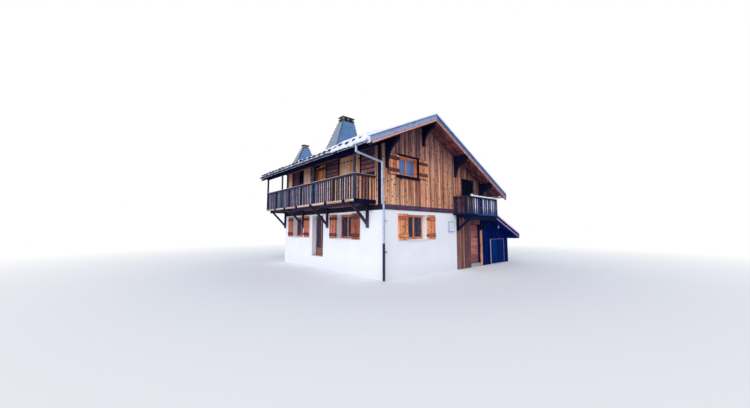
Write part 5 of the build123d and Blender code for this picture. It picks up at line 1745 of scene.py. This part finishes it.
shed_xs = steps(WIDTH + 0.02, SHED_EAVE - 0.01, 0.08)
snow_sheet("lean_to_snow", shed_xs, steps(0.0, SHED_BACK + 0.03, 0.08), shed_ground,
           shed_snow_depth)
snow_sheet("lean_to_verge_snow", [x for x in shed_xs if x > SHED_OVERHANG_X + 0.01],
           steps(-SHED_VERGE - 0.035, 0.0, 0.05), shed_ground, shed_snow_depth)
print("lean-to snow spans", len(shed_xs), "columns")

# %% [markdown]
# Snow also lies on the rail of the gable balcony, thick and wavy. It is higher in the middle
# of the rail's width and thins toward the wall. A round bar would be quicker, but snow has a
# flat foot and a crown that rises and falls, which the sheet of snow gives.

# %% Snow on the gable rail
def rail_snow(name, x0, x1, y0, y1, level, thick):
    """Wavy snow lying on a handrail, higher in the middle of its width."""
    along_x = x1 - x0 > y1 - y0

    def depth(x, y):
        across = (y - y0) / (y1 - y0) if along_x else (x - x0) / (x1 - x0)
        crown = math.sin(math.pi * min(1.0, max(0.0, across))) ** 0.4
        wave = 0.6 + 0.55 * noise.noise(((x if along_x else y) * 2.6, 0.3, 5.0))
        return 0.008 + thick * crown * max(0.25, wave)

    xs, ys = steps(x0, x1, 0.035), steps(y0, y1, 0.035)
    return snow_sheet(name, xs, ys, lambda x, y: level, depth, edge=0.008)


front_snow = rail_snow("gable_rail_snow", GABLE_DECK_X[0] + 0.55, GABLE_DECK_X[1] + 0.01,
                       -GABLE_OUT - 0.02, -GABLE_OUT + 0.13, GABLE_RAIL_TOP, 0.125)
rail_snow("gable_rail_snow_right", GABLE_DECK_X[1] - 0.12, GABLE_DECK_X[1] + 0.01,
          -GABLE_OUT + 0.12, -0.03, GABLE_RAIL_TOP, 0.08)
print("rail snow has", len(front_snow.data.polygons), "faces")

# %% [markdown]
# Small pieces come last: the lean-to's lamp, the lid of the meter box, brackets under the
# gutters, dark slots in the plank door, the cap of the long railing, and the ends of the
# beams that carry its deck. They are small, but each one shows as a dot or a line.

# %% Small pieces
LAMP_X, LAMP_OUT, LAMP_Z, LAMP_RADIUS = 9.215, 0.095, 2.12, 0.045
BRACKETS, BRACKET_STEP, SLOTS, SLOT_STEP, SLOT_Z = 14, 0.72, 6, 0.28, 5.11
DECK_UNDER, JOIST_HALF, POST_Y = 3.0, 0.09, 7.16
JOISTS_Y = (1.2, 2.55, 3.85, 5.3, 6.68, 7.95)
boxes("lean_to_lamp_base", on_front, 121, NAVY_BOARDS,
      (LAMP_X - 0.025, LAMP_X + 0.025, 0.02, 0.06, LAMP_Z - 0.03, LAMP_Z + 0.03))
globe_mesh = bpy.data.meshes.new("lean_to_lamp_globe")
work = bmesh.new()
bmesh.ops.create_uvsphere(work, u_segments=20, v_segments=12, radius=LAMP_RADIUS)
bmesh.ops.scale(work, verts=work.verts, vec=(0.75, 0.75, 1.9))
bmesh.ops.translate(work, verts=work.verts, vec=HOME + on_front(LAMP_X, LAMP_OUT, LAMP_Z))
work.to_mesh(globe_mesh)
work.free()
globe_mesh.polygons.foreach_set("use_smooth", [True] * len(globe_mesh.polygons))
dress("lean_to_lamp_globe", globe_mesh, PLASTIC)

low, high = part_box("meter_box")
x0, x1 = low.x - HOME.x, high.x - HOME.x
middle = (x0 + x1) / 2
boxes("meter_box_door", on_front, 122, PLASTIC,
      (x0 + 0.034, x1 - 0.03, 0.07, 0.078, low.z + 0.04, high.z - 0.03), bevel=0.003)
boxes("meter_box_lock", on_front, 123, IRON,
      (middle - 0.012, middle + 0.012, 0.078, 0.084, low.z + 0.14, low.z + 0.2))

for side, eave, name in SIDES:
    points = [(eave + side * 0.065, ROOF_FRONT + 0.3 + BRACKET_STEP * i, roof_top(eave) - 0.157)
              for i in range(BRACKETS)]
    bars(f"gutter_brackets_{name}", points, (0.16, 0.028, 0.006), IRON, seed=124)
slots = [(0.03, PLANK_DOOR[0] + 0.12 + SLOT_STEP * i, SLOT_Z) for i in range(SLOTS)]
bars("plank_door_slots", slots, (0.02, 0.17, 0.045), IRON, seed=125)

rail_front, cap_top = BALCONY_Y[0] - 0.03, RAIL_TOP + 0.014
boxes("left_rail_cap_board", plain, 126, CAP_BOARD,
      (-1.135, -1.0, rail_front, BALCONY_Y[1] - 0.005, RAIL_TOP, cap_top, 0.1),
      (-1.0, -0.005, rail_front, BALCONY_Y[0] + 0.09, RAIL_TOP, cap_top, 0.5),
      slot="weathered_railing")
boxes("left_deck_joist_ends", plain, 130, DARK_UP,
      *[(-BALCONY_OUT - 0.026, -BALCONY_OUT, y - JOIST_HALF, y + JOIST_HALF, DECK_UNDER,
         DECK_TOP + 0.008) for y in JOISTS_Y], slot="dark_timber")
boxes("left_deck_front_fascia", on_front, 127, DARK,
      (-BALCONY_OUT - 0.02, -0.035, -BALCONY_Y[0], -BALCONY_Y[0] + 0.022, DECK_UNDER,
       DECK_TOP + 0.012), slot="dark_timber")
boxes("roof_post_pale_face", plain, 128, PALE_STRIP,
      (-BALCONY_OUT - 0.004, -BALCONY_OUT, POST_Y - 0.04, POST_Y + 0.04, RAIL_TOP + 0.02,
       roof_under(-BALCONY_OUT) - 0.17, 0.2))
boxes("terrace_threshold_render", on_left, 129, RENDER,
      (TERRACE[0], TERRACE[1], 0.0, 0.003, 0.0, TERRACE[2] - 0.04))
print("small pieces placed")

# %% [markdown]
# Last, the shown pieces and their triangles are counted.

# %% Sizes and finish
triangles = {}
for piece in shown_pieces():
    if piece.type == "MESH":
        piece.data.calc_loop_triangles()
        triangles[piece.name] = len(piece.data.loop_triangles)
print(len(triangles), "pieces,", sum(triangles.values()), "triangles, most in",
      max(triangles, key=triangles.get), max(triangles.values()))
